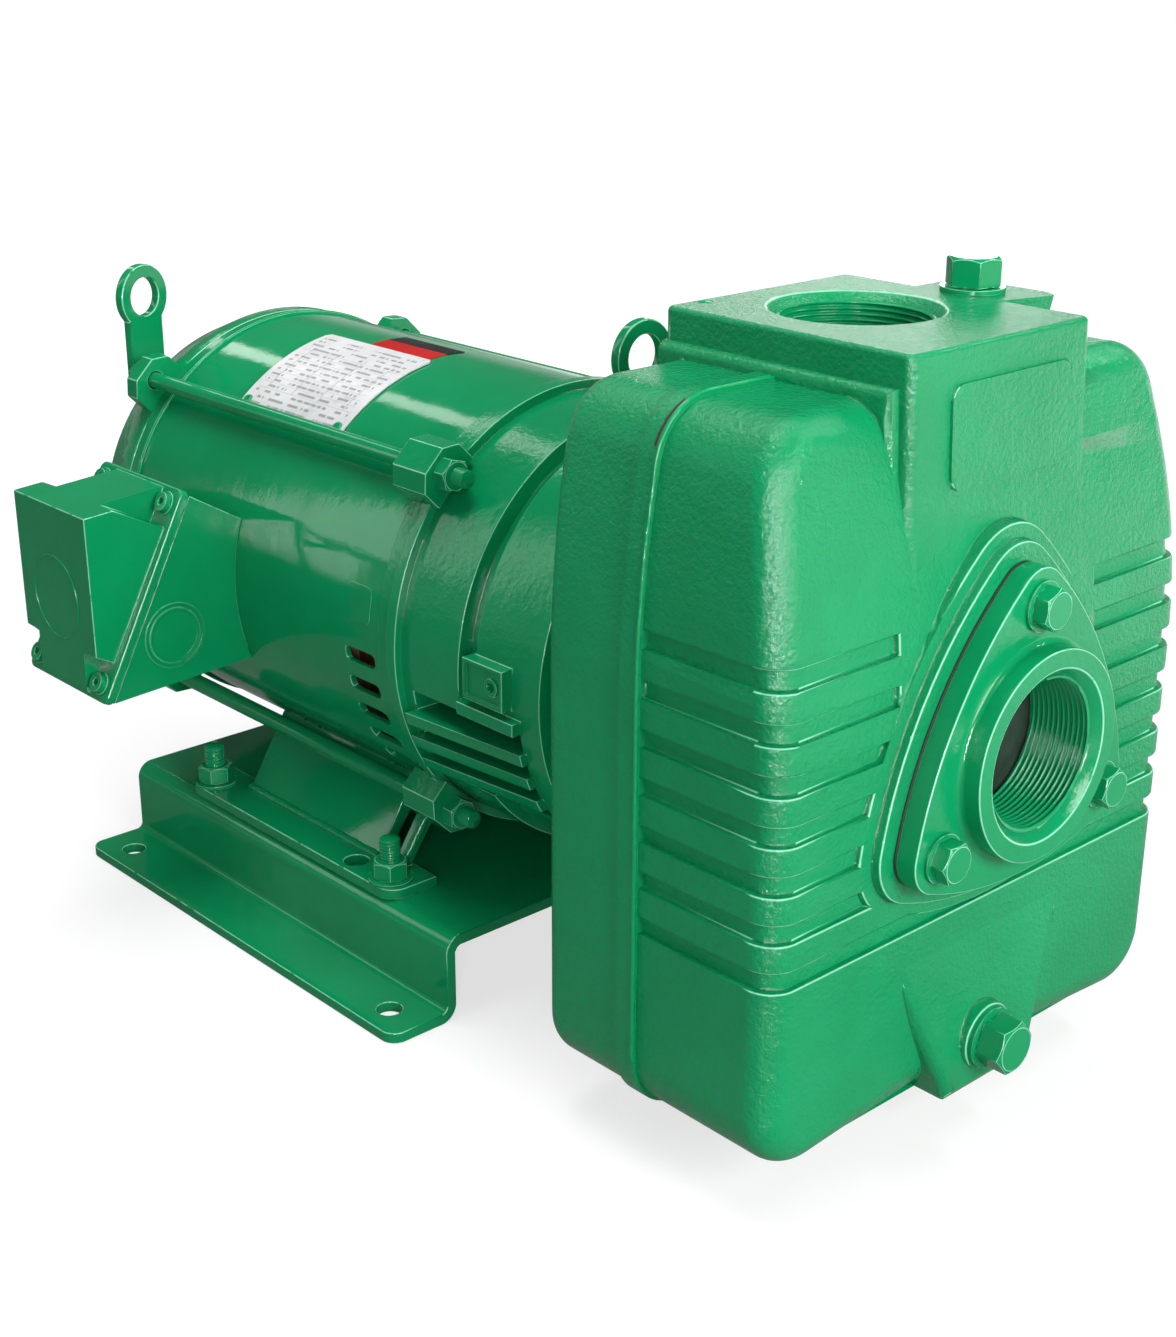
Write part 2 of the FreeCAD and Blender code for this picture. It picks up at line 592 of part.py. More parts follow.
def make_end_bell():
    rim = "(shell_rear - bell_rim)"
    seat = "bearing_outer + bearing_fit"
    hub = "bearing_outer + hub_wall"
    floor = BELL_REAR + " + bell_wall"
    corners = [(BELL_REAR, "0"), ("rear_bearing_x - bell_float", "0"), ("rear_bearing_x - bell_float", seat),
               ("rear_bearing_x + bearing_width + bell_float", seat),
               ("rear_bearing_x + bearing_width + bell_float", hub), (floor, hub),
               (floor + " + bell_nose / 2", "shell_radius - bell_nose_fall - bell_wall * 0.6"),
               (floor + " + bell_knee", "shell_radius - bell_knee_fall - bell_wall * 0.7"),
               (rim, "shell_radius - bell_wall"), ("shell_rear + spigot_length",
                                                   "shell_radius - bell_wall - 1"),
               ("shell_rear + spigot_length", SHELL_BORE + " - bearing_fit"),
               ("shell_rear", SHELL_BORE + " - bearing_fit"), ("shell_rear", "shell_radius + 1"),
               (rim, "shell_radius + 1"), (BELL_REAR + " + bell_knee", "shell_radius - bell_knee_fall"),
               (BELL_REAR + " + bell_nose", "shell_radius - bell_nose_fall"), (BELL_REAR, hub)]
    body = turned("rear_end_bell", corners)
    vents = sketch_on(body, "YZ_Plane", "bell_vent", BELL_REAR + " - 1")
    rectangle(vents, "-bell_vent_half", "-(shell_radius - bell_vent_fall)", "bell_vent_half",
              "-(%s + bell_vent_rise)" % hub)
    vent = pocket(body, vents, "bell_vent_depth", back=True)
    polar(body, [vent], "bell_vent_count")
    add_lugs(body, "rear_lugs", LUG_REAR, "rear_lug_length", "shell_radius - bell_knee_fall")
    drill_lugs(body, "rear_lug_holes", LUG_REAR, "rear_lug_length")
    return body


def make_bracket():
    end = BRACKET_END
    step = "(shell_front + bracket_step)"
    seat = "bearing_outer + bearing_fit"
    seat_front = "front_bearing_x + bearing_width"
    corners = [("shell_front - spigot_length", SHELL_BORE + " - 4"),
               ("shell_front - spigot_length", SHELL_BORE + " - bearing_fit"),
               ("shell_front", SHELL_BORE + " - bearing_fit"), ("shell_front", "shell_radius + rim_rise"),
               (BEAD_REAR, "shell_radius + rim_rise"), (BEAD_REAR, "shell_radius + bead_rise"),
               (BEAD_FRONT, "shell_radius + bead_rise"), (BEAD_FRONT, "bracket_radius"), (step,
                                                                                          "bracket_radius"),
               (step, "bracket_radius - groove_depth"), (step + " + groove_width",
                                                         "bracket_radius - groove_depth"),
               (step + " + groove_width", "bracket_nose_radius"), (end, "bracket_nose_radius"),
               (end, "register_radius"), (end + " + register_length", "register_radius"),
               (end + " + register_length", "shaft_radius + 2"), (seat_front, "shaft_radius + 2"),
               (seat_front, seat), ("front_bearing_x", seat), ("front_bearing_x", "bearing_outer + hub_wall"),
               (end + " - bracket_wall", "bearing_outer + hub_wall"),
               (end + " - bracket_wall", "bracket_radius - groove_depth - bracket_wall"),
               ("shell_front + bead_width + 4", "bracket_radius - groove_depth - bracket_wall + 3")]
    body = turned("front_bracket", corners)
    add_lugs(body, "front_lugs", LUG_FRONT, "lug_length", "shell_radius + seat_gap")
    drill_lugs(body, "front_lug_holes", LUG_FRONT, "lug_length")
    bars = ["(louvre_second + %d * louvre_pitch)" % index for index in range(int(value("louvre_count")))]
    tops = ["louvre_first"] + bars + [bars[-1] + " + louvre_pitch"]
    bars_front = "(%s - louvre_front)" % end
    sides = (("near", "louvre_inside", "louvre_root"),
             ("far", "-(louvre_inside + louvre_cut)", "-louvre_root"))
    for side, start, root in sides:
        slots = sketch_on(body, "XZ_Plane", side + "_louvre_slots", start)
        for above, below in zip(tops, tops[1:]):
            rectangle(slots, LUG_FACE + " + louvre_margin", "-(%s)" % below, bars_front,
                      "-(%s + louvre_plate)" % above)
        pocket(body, slots, "louvre_cut", back=True)
        slats = sketch_on(body, "XZ_Plane", side + "_louvre_bars", root)
        for top in bars:
            rectangle(slats, LUG_FACE, "-(%s + louvre_plate)" % top, bars_front + " + 2 * louvre_margin",
                      "-" + top)
        pad(body, slats, "louvre_depth", back=side == "far")
    trim = sketch_on(body, "XZ_Plane", "louvre_trim")
    polygon(trim, [(LUG_FACE, "bracket_radius + louvre_rise"), (end, "bracket_radius - louvre_fall"),
                   (end, "bracket_radius + louvre_depth"), (LUG_FACE, "bracket_radius + louvre_depth")])
    turn_away(body, trim)
    for side, start, root in sides:
        short = sketch_on(body, "XZ_Plane", side + "_short_bar", root)
        rectangle(short, step, "-(louvre_first + louvre_plate)", bars_front + " + 2 * louvre_margin",
                  "-louvre_first")
        pad(body, short, "bracket_nose_radius + short_bar_rise - louvre_root", back=side == "far")
    boss_x = "shell_front + boss_shift"
    boss_root = "bracket_nose_radius - boss_depth"
    boss = sketch_on(body, "XZ_Plane", "bracket_boss", boss_root)
    rectangle(boss, boss_x + " - boss_length / 2", "boss_lift - boss_height / 2",
              boss_x + " + boss_length / 2",
              "boss_lift + boss_height / 2")
    pad(body, boss, "boss_depth + boss_rise")
    recess = sketch_on(body, "XZ_Plane", "boss_recess_outline",
                       "bracket_nose_radius + boss_rise - boss_recess")
    rectangle(recess, boss_x + " - boss_length / 2 + boss_frame", "boss_lift - boss_height / 2 + boss_frame",
              boss_x + " + boss_length / 2 - boss_frame", "boss_lift + boss_height / 2 - boss_frame")
    pocket(body, recess, "boss_recess + 1", back=True)
    hole = sketch_on(body, "XZ_Plane", "boss_hole", boss_root)
    circle(hole, "plug_radius", boss_x + " + plug_shift", "boss_lift")
    pocket(body, hole, "boss_depth + boss_rise + 10", back=True)
    return body


def make_bracket_plug():
    face = "-(bracket_nose_radius + boss_rise - plug_set)"
    x = "shell_front + boss_shift + plug_shift"
    z = AXIS_Z + " + boss_lift"
    shank = cylinder("bracket_plug_shank", "plug_radius", "bracket_plug_length", x, face, z, "+Y")
    socket = hexagon("bracket_plug_socket", "plug_radius", "plug_socket", x, face, z, "+Y")
    return cut("bracket_plug", shank, socket)


# Through bolts, from the rear lugs to the front lugs

def make_through_bolts():
    rods = []
    nuts = []
    reach = "%s * through_bolt_circle" % DIAGONAL
    number = 0
    for side_y in ("", "-"):
        for side_z in ("+", "-"):
            number += 1
            y = side_y + reach
            z = "%s %s %s" % (AXIS_Z, side_z, reach)
            length = "%s + through_nut_height + bolt_stub - %s" % (LUG_FACE, LUG_REAR)
            rod = cylinder("through_rod%d" % number, "through_bolt_radius", length, LUG_REAR, y, z, "+X")
            head = hexagon("through_head%d" % number, "through_nut_flats", "through_nut_height - 1.5",
                           LUG_REAR, y, z, "-X")
            rods.append(fuse("through_bolt%d" % number, [rod, head]))
            outside = hexagon("through_nut_body%d" % number, "through_nut_flats", "through_nut_height",
                              LUG_FACE, y, z, "+X")
            bore = cylinder("through_nut_bore%d" % number, "through_bolt_radius", "through_nut_height",
                            LUG_FACE, y, z, "+X")
            nuts.append(cut("through_nut%d" % number, outside, bore))
    return [group("through_bolts", rods), group("through_bolt_nuts", nuts)]


# Lifting eyes: a flat ring on a stem, standing across the shaft

def make_eye(name, x, y, height, reach, turn_angle, carrier):
    """The stem is cut to the surface of the casting that carries it."""
    ring_z = "%s + %s" % (AXIS_Z, height)
    rim = cylinder(name + "_rim", "eye_radius", "eye_plate", x="-eye_plate / 2", along="+X")
    stem = block(name + "_stem", "eye_plate", "eye_stem", reach, "-eye_plate / 2", "-eye_stem / 2",
                 "-" + reach)
    hole = cylinder(name + "_hole", "eye_hole", "eye_plate", x="-eye_plate / 2", along="+X")
    plate = cut(name + "_plate", fuse(name + "_form", [rim, stem]), hole)
    turn(plate, FreeCAD.Rotation(FreeCAD.Vector(0, 0, 1), value(turn_angle)))
    place(plate, x, y, ring_z)
    return cut(name, plate, carrier)


# Nameplate: a curved sheet on the shell

def make_nameplate():
    outer = cylinder("nameplate_outside", "shell_radius + plate_gap + plate_thickness", "plate_length",
                     sweep="plate_sweep")
    inner = cylinder("nameplate_inside", "shell_radius + plate_gap", "plate_length")
    sheet = cut("nameplate", outer, inner)
    # the plate's angles count from the near side, level with the shaft, up over the top
    spin = FreeCAD.Rotation(FreeCAD.Vector(0, 0, 1), -(90 + value("plate_start + plate_sweep")))
    turn(sheet, TURNS["+X"].multiply(spin))
    place(sheet, "plate_rear", "0", AXIS_Z)
    return sheet


# Conduit box, its slanted cover, gasket, screws and knockout

BOX_REAR = "(box_front - box_length)"
SLOPE_RUN = "(box_low_reach - box_split_reach)"
SLOPE_FALL = "(box_top - box_bottom)"
SLOPE = "sqrt(%s ^ 2 + %s ^ 2)" % (SLOPE_RUN, SLOPE_FALL)


def box_corner(reach, height):
    return ("-(%s)" % reach, "%s + %s" % (AXIS_Z, height))


def make_conduit_box():
    body = new_body("conduit_box_form")
    outline = sketch_on(body, "YZ_Plane", "box_outline", BOX_REAR)
    polygon(outline, [box_corner("box_split_reach", "box_top"), box_corner("box_low_reach", "box_bottom"),
                      box_corner("box_root_low", "box_bottom + box_root_rise"),
                      box_corner("box_root_high", "box_shoulder")])
    pad(body, outline, "box_length")
    inside = sketch_on(body, "YZ_Plane", "box_inside", BOX_REAR + " + box_wall")
    polygon(inside, [box_corner("box_split_reach + 4", "box_top + 2 - box_wall"),
                     box_corner("box_low_reach + 4", "box_bottom + box_wall"),
                     box_corner("box_hollow_reach", "box_bottom + 0.9 * box_root_rise + box_wall"),
                     box_corner("box_hollow_reach", "box_shoulder + 1.5 * box_root_rise - box_wall")])
    pocket(body, inside, "box_length - 2 * box_wall", back=True)
    saddle = cylinder("box_saddle", "shell_radius", "box_length + 20", BOX_REAR + " - 10", "0", AXIS_Z, "+X")
    return cut("conduit_box", body, saddle)


def lay_on_slope(item, rise="0"):
    """Stand a piece on the slanted joint: its x along the shaft, its y up the slope, its z outwards."""
    angle = math.degrees(math.atan2(value(SLOPE_FALL), value(SLOPE_RUN)))
    turn(item, FreeCAD.Rotation(FreeCAD.Vector(1, 0, 0), angle))
    place(item, BOX_REAR, "-box_low_reach - %s * sin(%.6f)" % (rise, angle),
          "%s + box_bottom + %s * cos(%.6f)" % (AXIS_Z, rise, angle))


def make_conduit_gasket():
    body = new_body("conduit_gasket")
    frame = sketch_on(body, "XY_Plane", "gasket_frame")
    rectangle(frame, "0", "0", "box_length", SLOPE)
    rectangle(frame, "box_wall + 1", "box_wall + 3", "box_length - box_wall - 1", SLOPE + " - box_wall - 3")
    pad(body, frame, "box_gasket")
    lay_on_slope(body)
    return body


def make_conduit_cover():
    body = new_body("conduit_cover")
    plate = sketch_on(body, "XY_Plane", "cover_plate")
    rectangle(plate, "-cover_overhang", "-cover_overhang", "box_length + cover_overhang",
              SLOPE + " + cover_overhang")
    pad(body, plate, "cover_flange")
    round_body(body, "cover_corner", lambda e: runs_along(e, "z"), "cover_plate_corners")
    face = value("cover_flange")
    round_body(body, "cover_rim", lambda e: near(middle_of(e).z, face) and e.BoundBox.ZLength < 0.01,
               "cover_plate_rim")
    wedge = sketch_on(body, "YZ_Plane", "cover_wedge", "cover_margin")
    polygon(wedge, [("0", "0"), (SLOPE, "0"), (SLOPE, "cover_flange"), ("cover_peak", "cover_height"),
                    ("0", "cover_flange + 1")])
    pad(body, wedge, "box_length - 2 * cover_margin")
    corners = sketch_on(body, "XY_Plane", "cover_pockets", "cover_flange")
    for low_x, high_x in (("-3", "cover_pocket"), ("box_length - cover_pocket", "box_length + 3")):
        rectangle(corners, low_x, "-3", high_x, "cover_pocket_depth")
        rectangle(corners, low_x, SLOPE + " - cover_pocket_depth", high_x, SLOPE + " + 3")
    pocket(body, corners, "60", back=True)
    # the hollow is a cross in plan, so that a wall stands round each corner pocket
    low, high = "(box_wall + cover_lip)", "(%s - box_wall - cover_foot)" % SLOPE
    low_rise = "(cover_height - 2 * box_wall - cover_flange - 1) / (cover_peak - 1 - %s)" % low
    high_rise = "(cover_height - 2 * box_wall - cover_flange) / (%s - cover_peak + 1)" % high
    peak = ("cover_peak - 1", "cover_height - 2 * box_wall")
    ridge = sketch_on(body, "YZ_Plane", "cover_inside", "cover_pocket + box_wall")
    polygon(ridge, [(low, "0"), (high, "0"), (high, "cover_flange"), peak, (low, "cover_flange + 1")])
    pocket(body, ridge, "box_length - 2 * (cover_pocket + box_wall)", back=True)
    start, stop = "(cover_pocket_depth + box_wall)", "(%s - cover_pocket_depth - box_wall)" % SLOPE
    across = sketch_on(body, "YZ_Plane", "cover_inside_sides", "cover_margin + box_wall")
    polygon(across, [(start, "0"), (stop, "0"), (stop, "cover_flange + (%s - %s) * %s" % (high, stop,
                                                                                          high_rise)),
                     peak, (start, "cover_flange + 1 + (%s - %s) * %s" % (start, low, low_rise))])
    pocket(body, across, "box_length - 2 * (cover_margin + box_wall)", back=True)
    lay_on_slope(body, "box_gasket")
    return body


def make_conduit_screws():
    screws = []
    spots = [(x, y) for x in ("box_screw_inset", "box_length - box_screw_inset")
             for y in ("box_screw_inset", SLOPE + " - box_screw_inset")]
    for number, (x, y) in enumerate(spots, start=1):
        screws.append(cylinder("conduit_screw%d" % number, "box_screw_head", "box_screw_rise", x, y))
    screw_set = group("conduit_screws", screws)
    lay_on_slope(screw_set, "(box_gasket + cover_flange)")
    return screw_set


def make_knockout():
    return cylinder("conduit_knockout", "knockout_radius", "knockout_rise", "box_front",
                    "knockout_inset - box_low_reach", AXIS_Z + " - knockout_drop", "+X")


# Stator, rotor and fan

def make_electrical():
    core = ring("stator_core", SHELL_BORE + " - bearing_fit", "stator_bore", "stator_length", "stator_rear",
                AXIS_Z)
    rear = ring("rear_winding", "winding_outer", "winding_inner", "winding_length",
                "stator_rear - winding_length", AXIS_Z)
    front = ring("front_winding", "winding_outer", "winding_inner", "winding_length", STATOR_FRONT, AXIS_Z)
    windings = group("stator_windings", [rear, front])
    rotor = ring("rotor_core", "stator_bore - air_gap", "shaft_core_radius", "stator_length", "stator_rear",
                 AXIS_Z)
    ring_rear = ring("rear_end_ring", "stator_bore - air_gap - end_ring_margin",
                     "shaft_core_radius + end_ring_wall",
                     "end_ring", "stator_rear - end_ring", AXIS_Z)
    ring_front = ring("front_end_ring", "stator_bore - air_gap - end_ring_margin",
                      "shaft_core_radius + end_ring_wall",
                      "end_ring", STATOR_FRONT, AXIS_Z)
    return [core, windings, rotor, group("rotor_end_rings", [ring_rear, ring_front])]


def make_fan():
    body = new_body("cooling_fan", z=AXIS_Z)
    disc = sketch_on(body, "XZ_Plane", "fan_disc")
    hub = "shaft_core_radius + fan_hub"
    polygon(disc, [("fan_rear", "shaft_core_radius"), ("fan_rear", "fan_radius"),
                   ("fan_rear + fan_disc", "fan_radius"), ("fan_rear + fan_disc", hub),
                   ("fan_rear + fan_length", hub), ("fan_rear + fan_length", "shaft_core_radius")])
    revolve(body, disc)
    blade = sketch_on(body, "YZ_Plane", "fan_blade", "fan_rear + fan_disc - 1")
    rectangle(blade, "-fan_blade_half", hub + " - 2", "fan_blade_half", "fan_radius - 2")
    feature = pad(body, blade, "fan_length - fan_disc - 1")
    polar(body, [feature], "fan_blades")
    return body


def make_shaft():
    end = "(eye_plate_x - shaft_setback)"
    return turned("pump_shaft", [("shaft_rear", "0"), ("shaft_rear", "shaft_radius"),
                                 ("rear_bearing_x + bearing_width", "shaft_radius"),
                                 ("rear_bearing_x + bearing_width", "shaft_core_radius"),
                                 ("front_bearing_x", "shaft_core_radius"), ("front_bearing_x",
                                                                            "shaft_radius"),
                                 ("impeller_x", "shaft_radius"), ("impeller_x", "stub_radius"),
                                 (end, "stub_radius"), (end, "0")])


def make_bearing(name, x):
    middle = "%s + bearing_width / 2" % x
    raceway = "ball_radius + race_clearance"
    tube = ring(name + "_outer_tube", "bearing_outer", "ball_circle + 3", "bearing_width", x, AXIS_Z)
    outer = cut(name + "_outer_race", tube, torus(name + "_outer_groove", "ball_circle", raceway, middle,
                                                  AXIS_Z))
    sleeve = ring(name + "_inner_tube", "ball_circle - 3", "shaft_radius", "bearing_width", x, AXIS_Z)
    inner = cut(name + "_inner_race", sleeve, torus(name + "_inner_groove", "ball_circle", raceway, middle,
                                                    AXIS_Z))
    balls = []
    for index in range(int(value("ball_count"))):
        ball = DOC.addObject("Part::Sphere", "%s_ball%d" % (name, index + 1))
        bind(ball, Radius="ball_radius")
        angle = "%d * 360 / ball_count" % index
        place(ball, middle, "ball_circle * cos(%s)" % angle, "%s + ball_circle * sin(%s)" % (AXIS_Z, angle))
        balls.append(ball)
    return [outer, inner, group(name + "_balls", balls)]


# Pump end: adapter, seal, gasket

BOLT_SEAT = "(adapter_rear + adapter_gap + adapter_bolt_seat)"


def make_adapter():
    flange_rear = "adapter_rear + adapter_gap"
    seal_seat = "adapter_rear + seal_depth"
    body = turned("pump_adapter", [("adapter_rear", "shaft_radius + 2"), ("adapter_rear",
                                                                          "register_radius + 8"),
                                   (flange_rear, "register_radius + 8"), (flange_rear, "adapter_radius"),
                                   (ADAPTER_FRONT, "adapter_radius"),
                                   (ADAPTER_FRONT, "opening_radius - spigot_fit"),
                                   (CAVITY_REAR, "opening_radius - spigot_fit"), (CAVITY_REAR, "seat_radius"),
                                   (seal_seat, "seat_radius"), (seal_seat, "shaft_radius + 2")])
    notch = sketch_on(body, "YZ_Plane", "adapter_notch_outline", flange_rear + " - 1")
    circle(notch, "adapter_notch", "0", "adapter_bolt_circle")
    first = pocket(body, notch, "adapter_bolt_seat + 1", back=True)
    polar(body, [first], "adapter_bolt_count")
    hole = sketch_on(body, "YZ_Plane", "adapter_bolt_hole", BOLT_SEAT)
    circle(hole, "adapter_bolt_radius", "0", "adapter_bolt_circle")
    second = pocket(body, hole, "60", back=True)
    polar(body, [second], "adapter_bolt_count")
    return body


def adapter_bolt_places():
    """Bolt places round the shaft, as y and z expressions."""
    for index in range(int(value("adapter_bolt_count"))):
        angle = "(90 + %d * 360 / adapter_bolt_count)" % index
        yield ("adapter_bolt_circle * cos(%s)" % angle,
               "%s + adapter_bolt_circle * sin(%s)" % (AXIS_Z, angle))


def make_adapter_bolts():
    bolts = []
    for number, (y, z) in enumerate(adapter_bolt_places(), start=1):
        head = hexagon("adapter_head%d" % number, "adapter_bolt_flats", "adapter_bolt_head", BOLT_SEAT, y, z,
                       "-X")
        length = "casing_rear + adapter_bolt_tip - %s" % BOLT_SEAT
        rod = cylinder("adapter_rod%d" % number, "adapter_bolt_radius", length, BOLT_SEAT, y, z, "+X")
        bolts.append(fuse("adapter_bolt%d" % number, [head, rod]))
    return group("adapter_bolts", bolts)


def make_casing_gasket():
    sheet = ring("casing_gasket_sheet", "adapter_radius", "opening_radius", "gasket_sheet", ADAPTER_FRONT,
                 AXIS_Z)
    holes = [cylinder("gasket_bolt_hole%d" % number, "adapter_bolt_radius", "gasket_sheet", ADAPTER_FRONT, y,
                      z,
                      "+X") for number, (y, z) in enumerate(adapter_bolt_places(), start=1)]
    return cut("casing_gasket", sheet, fuse("gasket_bolt_holes", holes))


def make_seal():
    seat_x = "(adapter_rear + seal_depth)"
    seat = ring("seal_seat", "seat_radius - bearing_fit", "shaft_radius + running_gap", "seat_length", seat_x,
                AXIS_Z)
    head_x = "(adapter_rear + seal_depth + seat_length + seat_gap)"
    head = ring("seal_head", "head_radius", "shaft_radius", "head_length", head_x, AXIS_Z)
    start = "(%s + head_length)" % head_x
    length = "(impeller_x - %s)" % start
    inside = "shaft_radius + bellows_gap"
    corners = [(start, inside), (start, "head_radius - bellows_crest")]
    for fold in range(2):
        corners.append(("%s + %s * %.3f" % (start, length, 0.25 + 0.5 * fold), "head_radius - bellows_root"))
        corners.append(("%s + %s * %.3f" % (start, length, 0.5 + 0.5 * fold), "head_radius - bellows_crest"))
    corners.append(("%s + %s" % (start, length), inside))
    return [seat, head, turned("seal_bellows", corners)]


def make_impeller():
    plate = cylinder("impeller_plate_disc", "impeller_radius", "impeller_plate", "impeller_x", "0", AXIS_Z,
                     "+X")
    hub = cylinder("impeller_hub_boss", "impeller_hub", "eye_plate_x - hub_setback - impeller_x",
                   "impeller_x", "0",
                   AXIS_Z, "+X")
    blades = []
    width = "(eye_plate_x - tip_gap - impeller_x)"
    for index in range(int(value("vane_count"))):
        outer = cylinder("vane_outside%d" % index, "vane_radius + vane_sheet / 2", width, sweep="vane_sweep")
        inner = cylinder("vane_inside%d" % index, "vane_radius - vane_sheet / 2", width)
        blade = cut("vane%d" % index, outer, inner)
        spin = index * 360.0 / value("vane_count")
        start = FreeCAD.Rotation(FreeCAD.Vector(1, 0, 0), spin + value("vane_start"))
        turn(blade, start.multiply(FreeCAD.Rotation(FreeCAD.Vector(0, 1, 0), 90)))
        place(blade, "impeller_x", "-vane_offset * sin(%.4f)" % spin,
              "%s + vane_offset * cos(%.4f)" % (AXIS_Z, spin))
        blades.append(blade)
    limit = ring("vane_limit", "impeller_radius", "impeller_hub - 1", width, "impeller_x", AXIS_Z)
    trimmed = common("trimmed_vanes", [fuse("vane_set", blades), limit])
    solid = fuse("impeller_form", [plate, hub, trimmed])
    return cut("impeller", solid, cylinder("impeller_bore", "stub_radius", width, "impeller_x", "0", AXIS_Z,
                                           "+X"))


def make_impeller_bolt():
    washer_x = "(eye_plate_x - hub_setback)"
    washer = cylinder("impeller_washer", "0.8 * impeller_hub", "washer_sheet", washer_x, "0", AXIS_Z, "+X")
    head = hexagon("impeller_bolt", "impeller_bolt_flats", "impeller_bolt_head", washer_x + " + washer_sheet",
                   "0", AXIS_Z, "+X")
    return [washer, head]


# Pump casing: a box-shaped casting with rounded edges and a leaning front, its block and column,
# grooves, flange pad, keel, and the volute and suction duct cast inside it

def make_form(name, inset):
    """The casing's own form, drawn smaller by the inset: the outside at 0, the hollow at one wall."""
    body = new_body(name)
    outline = sketch_on(body, "YZ_Plane", name + "_outline", "casing_rear + %s" % inset)
    half = "(casing_half - %s)" % inset
    low = "casing_bottom + %s" % inset
    top = "casing_top - %s" % inset
    swell = "(casing_swell - %s)" % inset
    reach = "(%s - %s + sqrt(%s ^ 2 - (%s - casing_shoulder) ^ 2))" % (half, swell, swell, top)
    middle = "(%s - %s)" % (half, swell)
    curved_outline(outline, [(half, low), (half, "casing_shoulder"), (reach, top), ("-" + reach, top),
                             ("-" + half, "casing_shoulder"), ("-" + half, low)],
                   {1: (middle, "casing_shoulder", swell), 3: ("-" + middle, "casing_shoulder", swell)})
    pad(body, outline, "casing_front - casing_rear - 2 * %s" % inset)
    ends = (value(low), value(top))
    round_body(body, "casing_corner - %s" % inset, lambda e: runs_along(e, "x") and any(
        near(middle_of(e).z, z) for z in ends), name + "_corners")
    lean = sketch_on(body, "XZ_Plane", name + "_lean")
    curve = "(lean_radius - %s)" % inset
    pivot = "(casing_front - lean_radius)"
    above = "(casing_top + 4)"
    curved_outline(lean, [("%s + %s" % (pivot, curve), "lean_start"),
                          ("%s + sqrt(%s ^ 2 - (%s - lean_start) ^ 2)" % (pivot, curve, above), above),
                          ("casing_front + 30", above), ("casing_front + 30", "lean_start")],
                   {0: (pivot, "lean_start", curve)})
    pocket(body, lean, "casing_half * 3", middle=True)
    front = value("casing_front - %s" % inset)
    start = value("lean_start")
    radius = value("lean_radius - %s" % inset)
    centre = value("casing_front - lean_radius")

    def on_front(edge):
        for point in edge.discretize(5):
            if point.z <= start + 0.01 and not near(point.x, front):
                return False
            if point.z > start and not near(math.hypot(point.x - centre, point.z - start), radius):
                return False
        return not (near(middle_of(edge).z, start) and edge.BoundBox.YLength > 50)

    round_body(body, "casing_round - %s" % inset, on_front, name + "_front_round")
    if value("casing_rear_round - %s" % inset) > 0.5:
        rear = value("casing_rear + %s" % inset)
        round_body(body, "casing_rear_round - %s" % inset, lambda e: near(middle_of(e).x, rear)
                   and e.BoundBox.XLength < 0.01, name + "_rear_round")
    return body


def make_grooves():
    """Level grooves round the front corners; the lowest ones run right across."""
    core = make_form("groove_floor", "rib_depth")
    slabs = []
    start = "(band_start + band_width)"
    length = "casing_front + 5 - %s" % start
    outside = "(casing_half + 5)"
    for index in range(int(value("rib_count"))):
        z = "rib_bottom + %d * rib_pitch" % index
        if index < value("rib_through_count"):
            slabs.append(block("groove%d" % index, length, "2 * %s" % outside, "rib_height", start,
                               "-" + outside, z))
        else:
            width = "%s - rib_gap_half" % outside
            slabs.append(block("near_groove%d" % index, length, width, "rib_height", start, "-" + outside, z))
            slabs.append(block("far_groove%d" % index, length, width, "rib_height", start, "rib_gap_half", z))
    return cut("grooves", fuse("groove_slabs", slabs), core)


def make_band():
    """Raised band along the parting line."""
    wide = make_form("band_form", "(-band_rise)")
    slab = block("band_slab", "band_width", "3 * casing_half", "2 * casing_top", "band_start",
                 "-1.5 * casing_half", "-10")
    return common("parting_band", [wide, slab])


def column_profile(sketch, step, top, front_step):
    """Side view of the discharge block and the column under it."""
    polygon(sketch, [("block_rear + %s" % step, top), ("block_front - %s" % front_step, top),
                     ("column_bend_x - %s" % front_step, "column_bend"), ("casing_front", "casing_shoulder"),
                     ("casing_front", "column_foot"), ("column_rear", "column_foot"),
                     ("column_rear", "block_bottom"), ("block_rear + %s" % step, "block_bottom")])


def make_column():
    body = new_body("discharge_column")
    profile = sketch_on(body, "XZ_Plane", "column_side")
    column_profile(profile, "0", "block_top", "0")
    pad(body, profile, "2 * block_half", middle=True)
    half = value("block_half")
    rear = value("block_rear")
    front = value("block_front")
    round_body(body, "block_round", lambda e: near(abs(middle_of(e).y), half) and e.BoundBox.YLength < 0.01
               and (middle_of(e).x > front - 1 or (runs_along(e, "z") and near(middle_of(e).x, rear)))
               and middle_of(e).z > value("column_foot") + 1, "column_corners")
    top = value("block_top")
    round_body(body, "block_round / 2", lambda e: near(middle_of(e).z, top) and e.BoundBox.ZLength < 0.01,
               "column_top_edges")
    return body


def make_skirt():
    """Wider foot of the block and column, where they grow out of the casing."""
    body = new_body("column_skirt")
    profile = sketch_on(body, "XZ_Plane", "skirt_side")
    column_profile(profile, "skirt_rear_step", "skirt_top", "skirt_front_step")
    pad(body, profile, "2 * (block_half + skirt_step)", middle=True)
    half = value("block_half + skirt_step")
    round_body(body, "block_round", lambda e: near(abs(middle_of(e).y), half) and e.BoundBox.YLength < 0.01
               and middle_of(e).z > value("block_bottom") and not near(middle_of(e).x,
                                                                       value("block_rear + skirt_rear_step")),
               "skirt_edges")
    return body


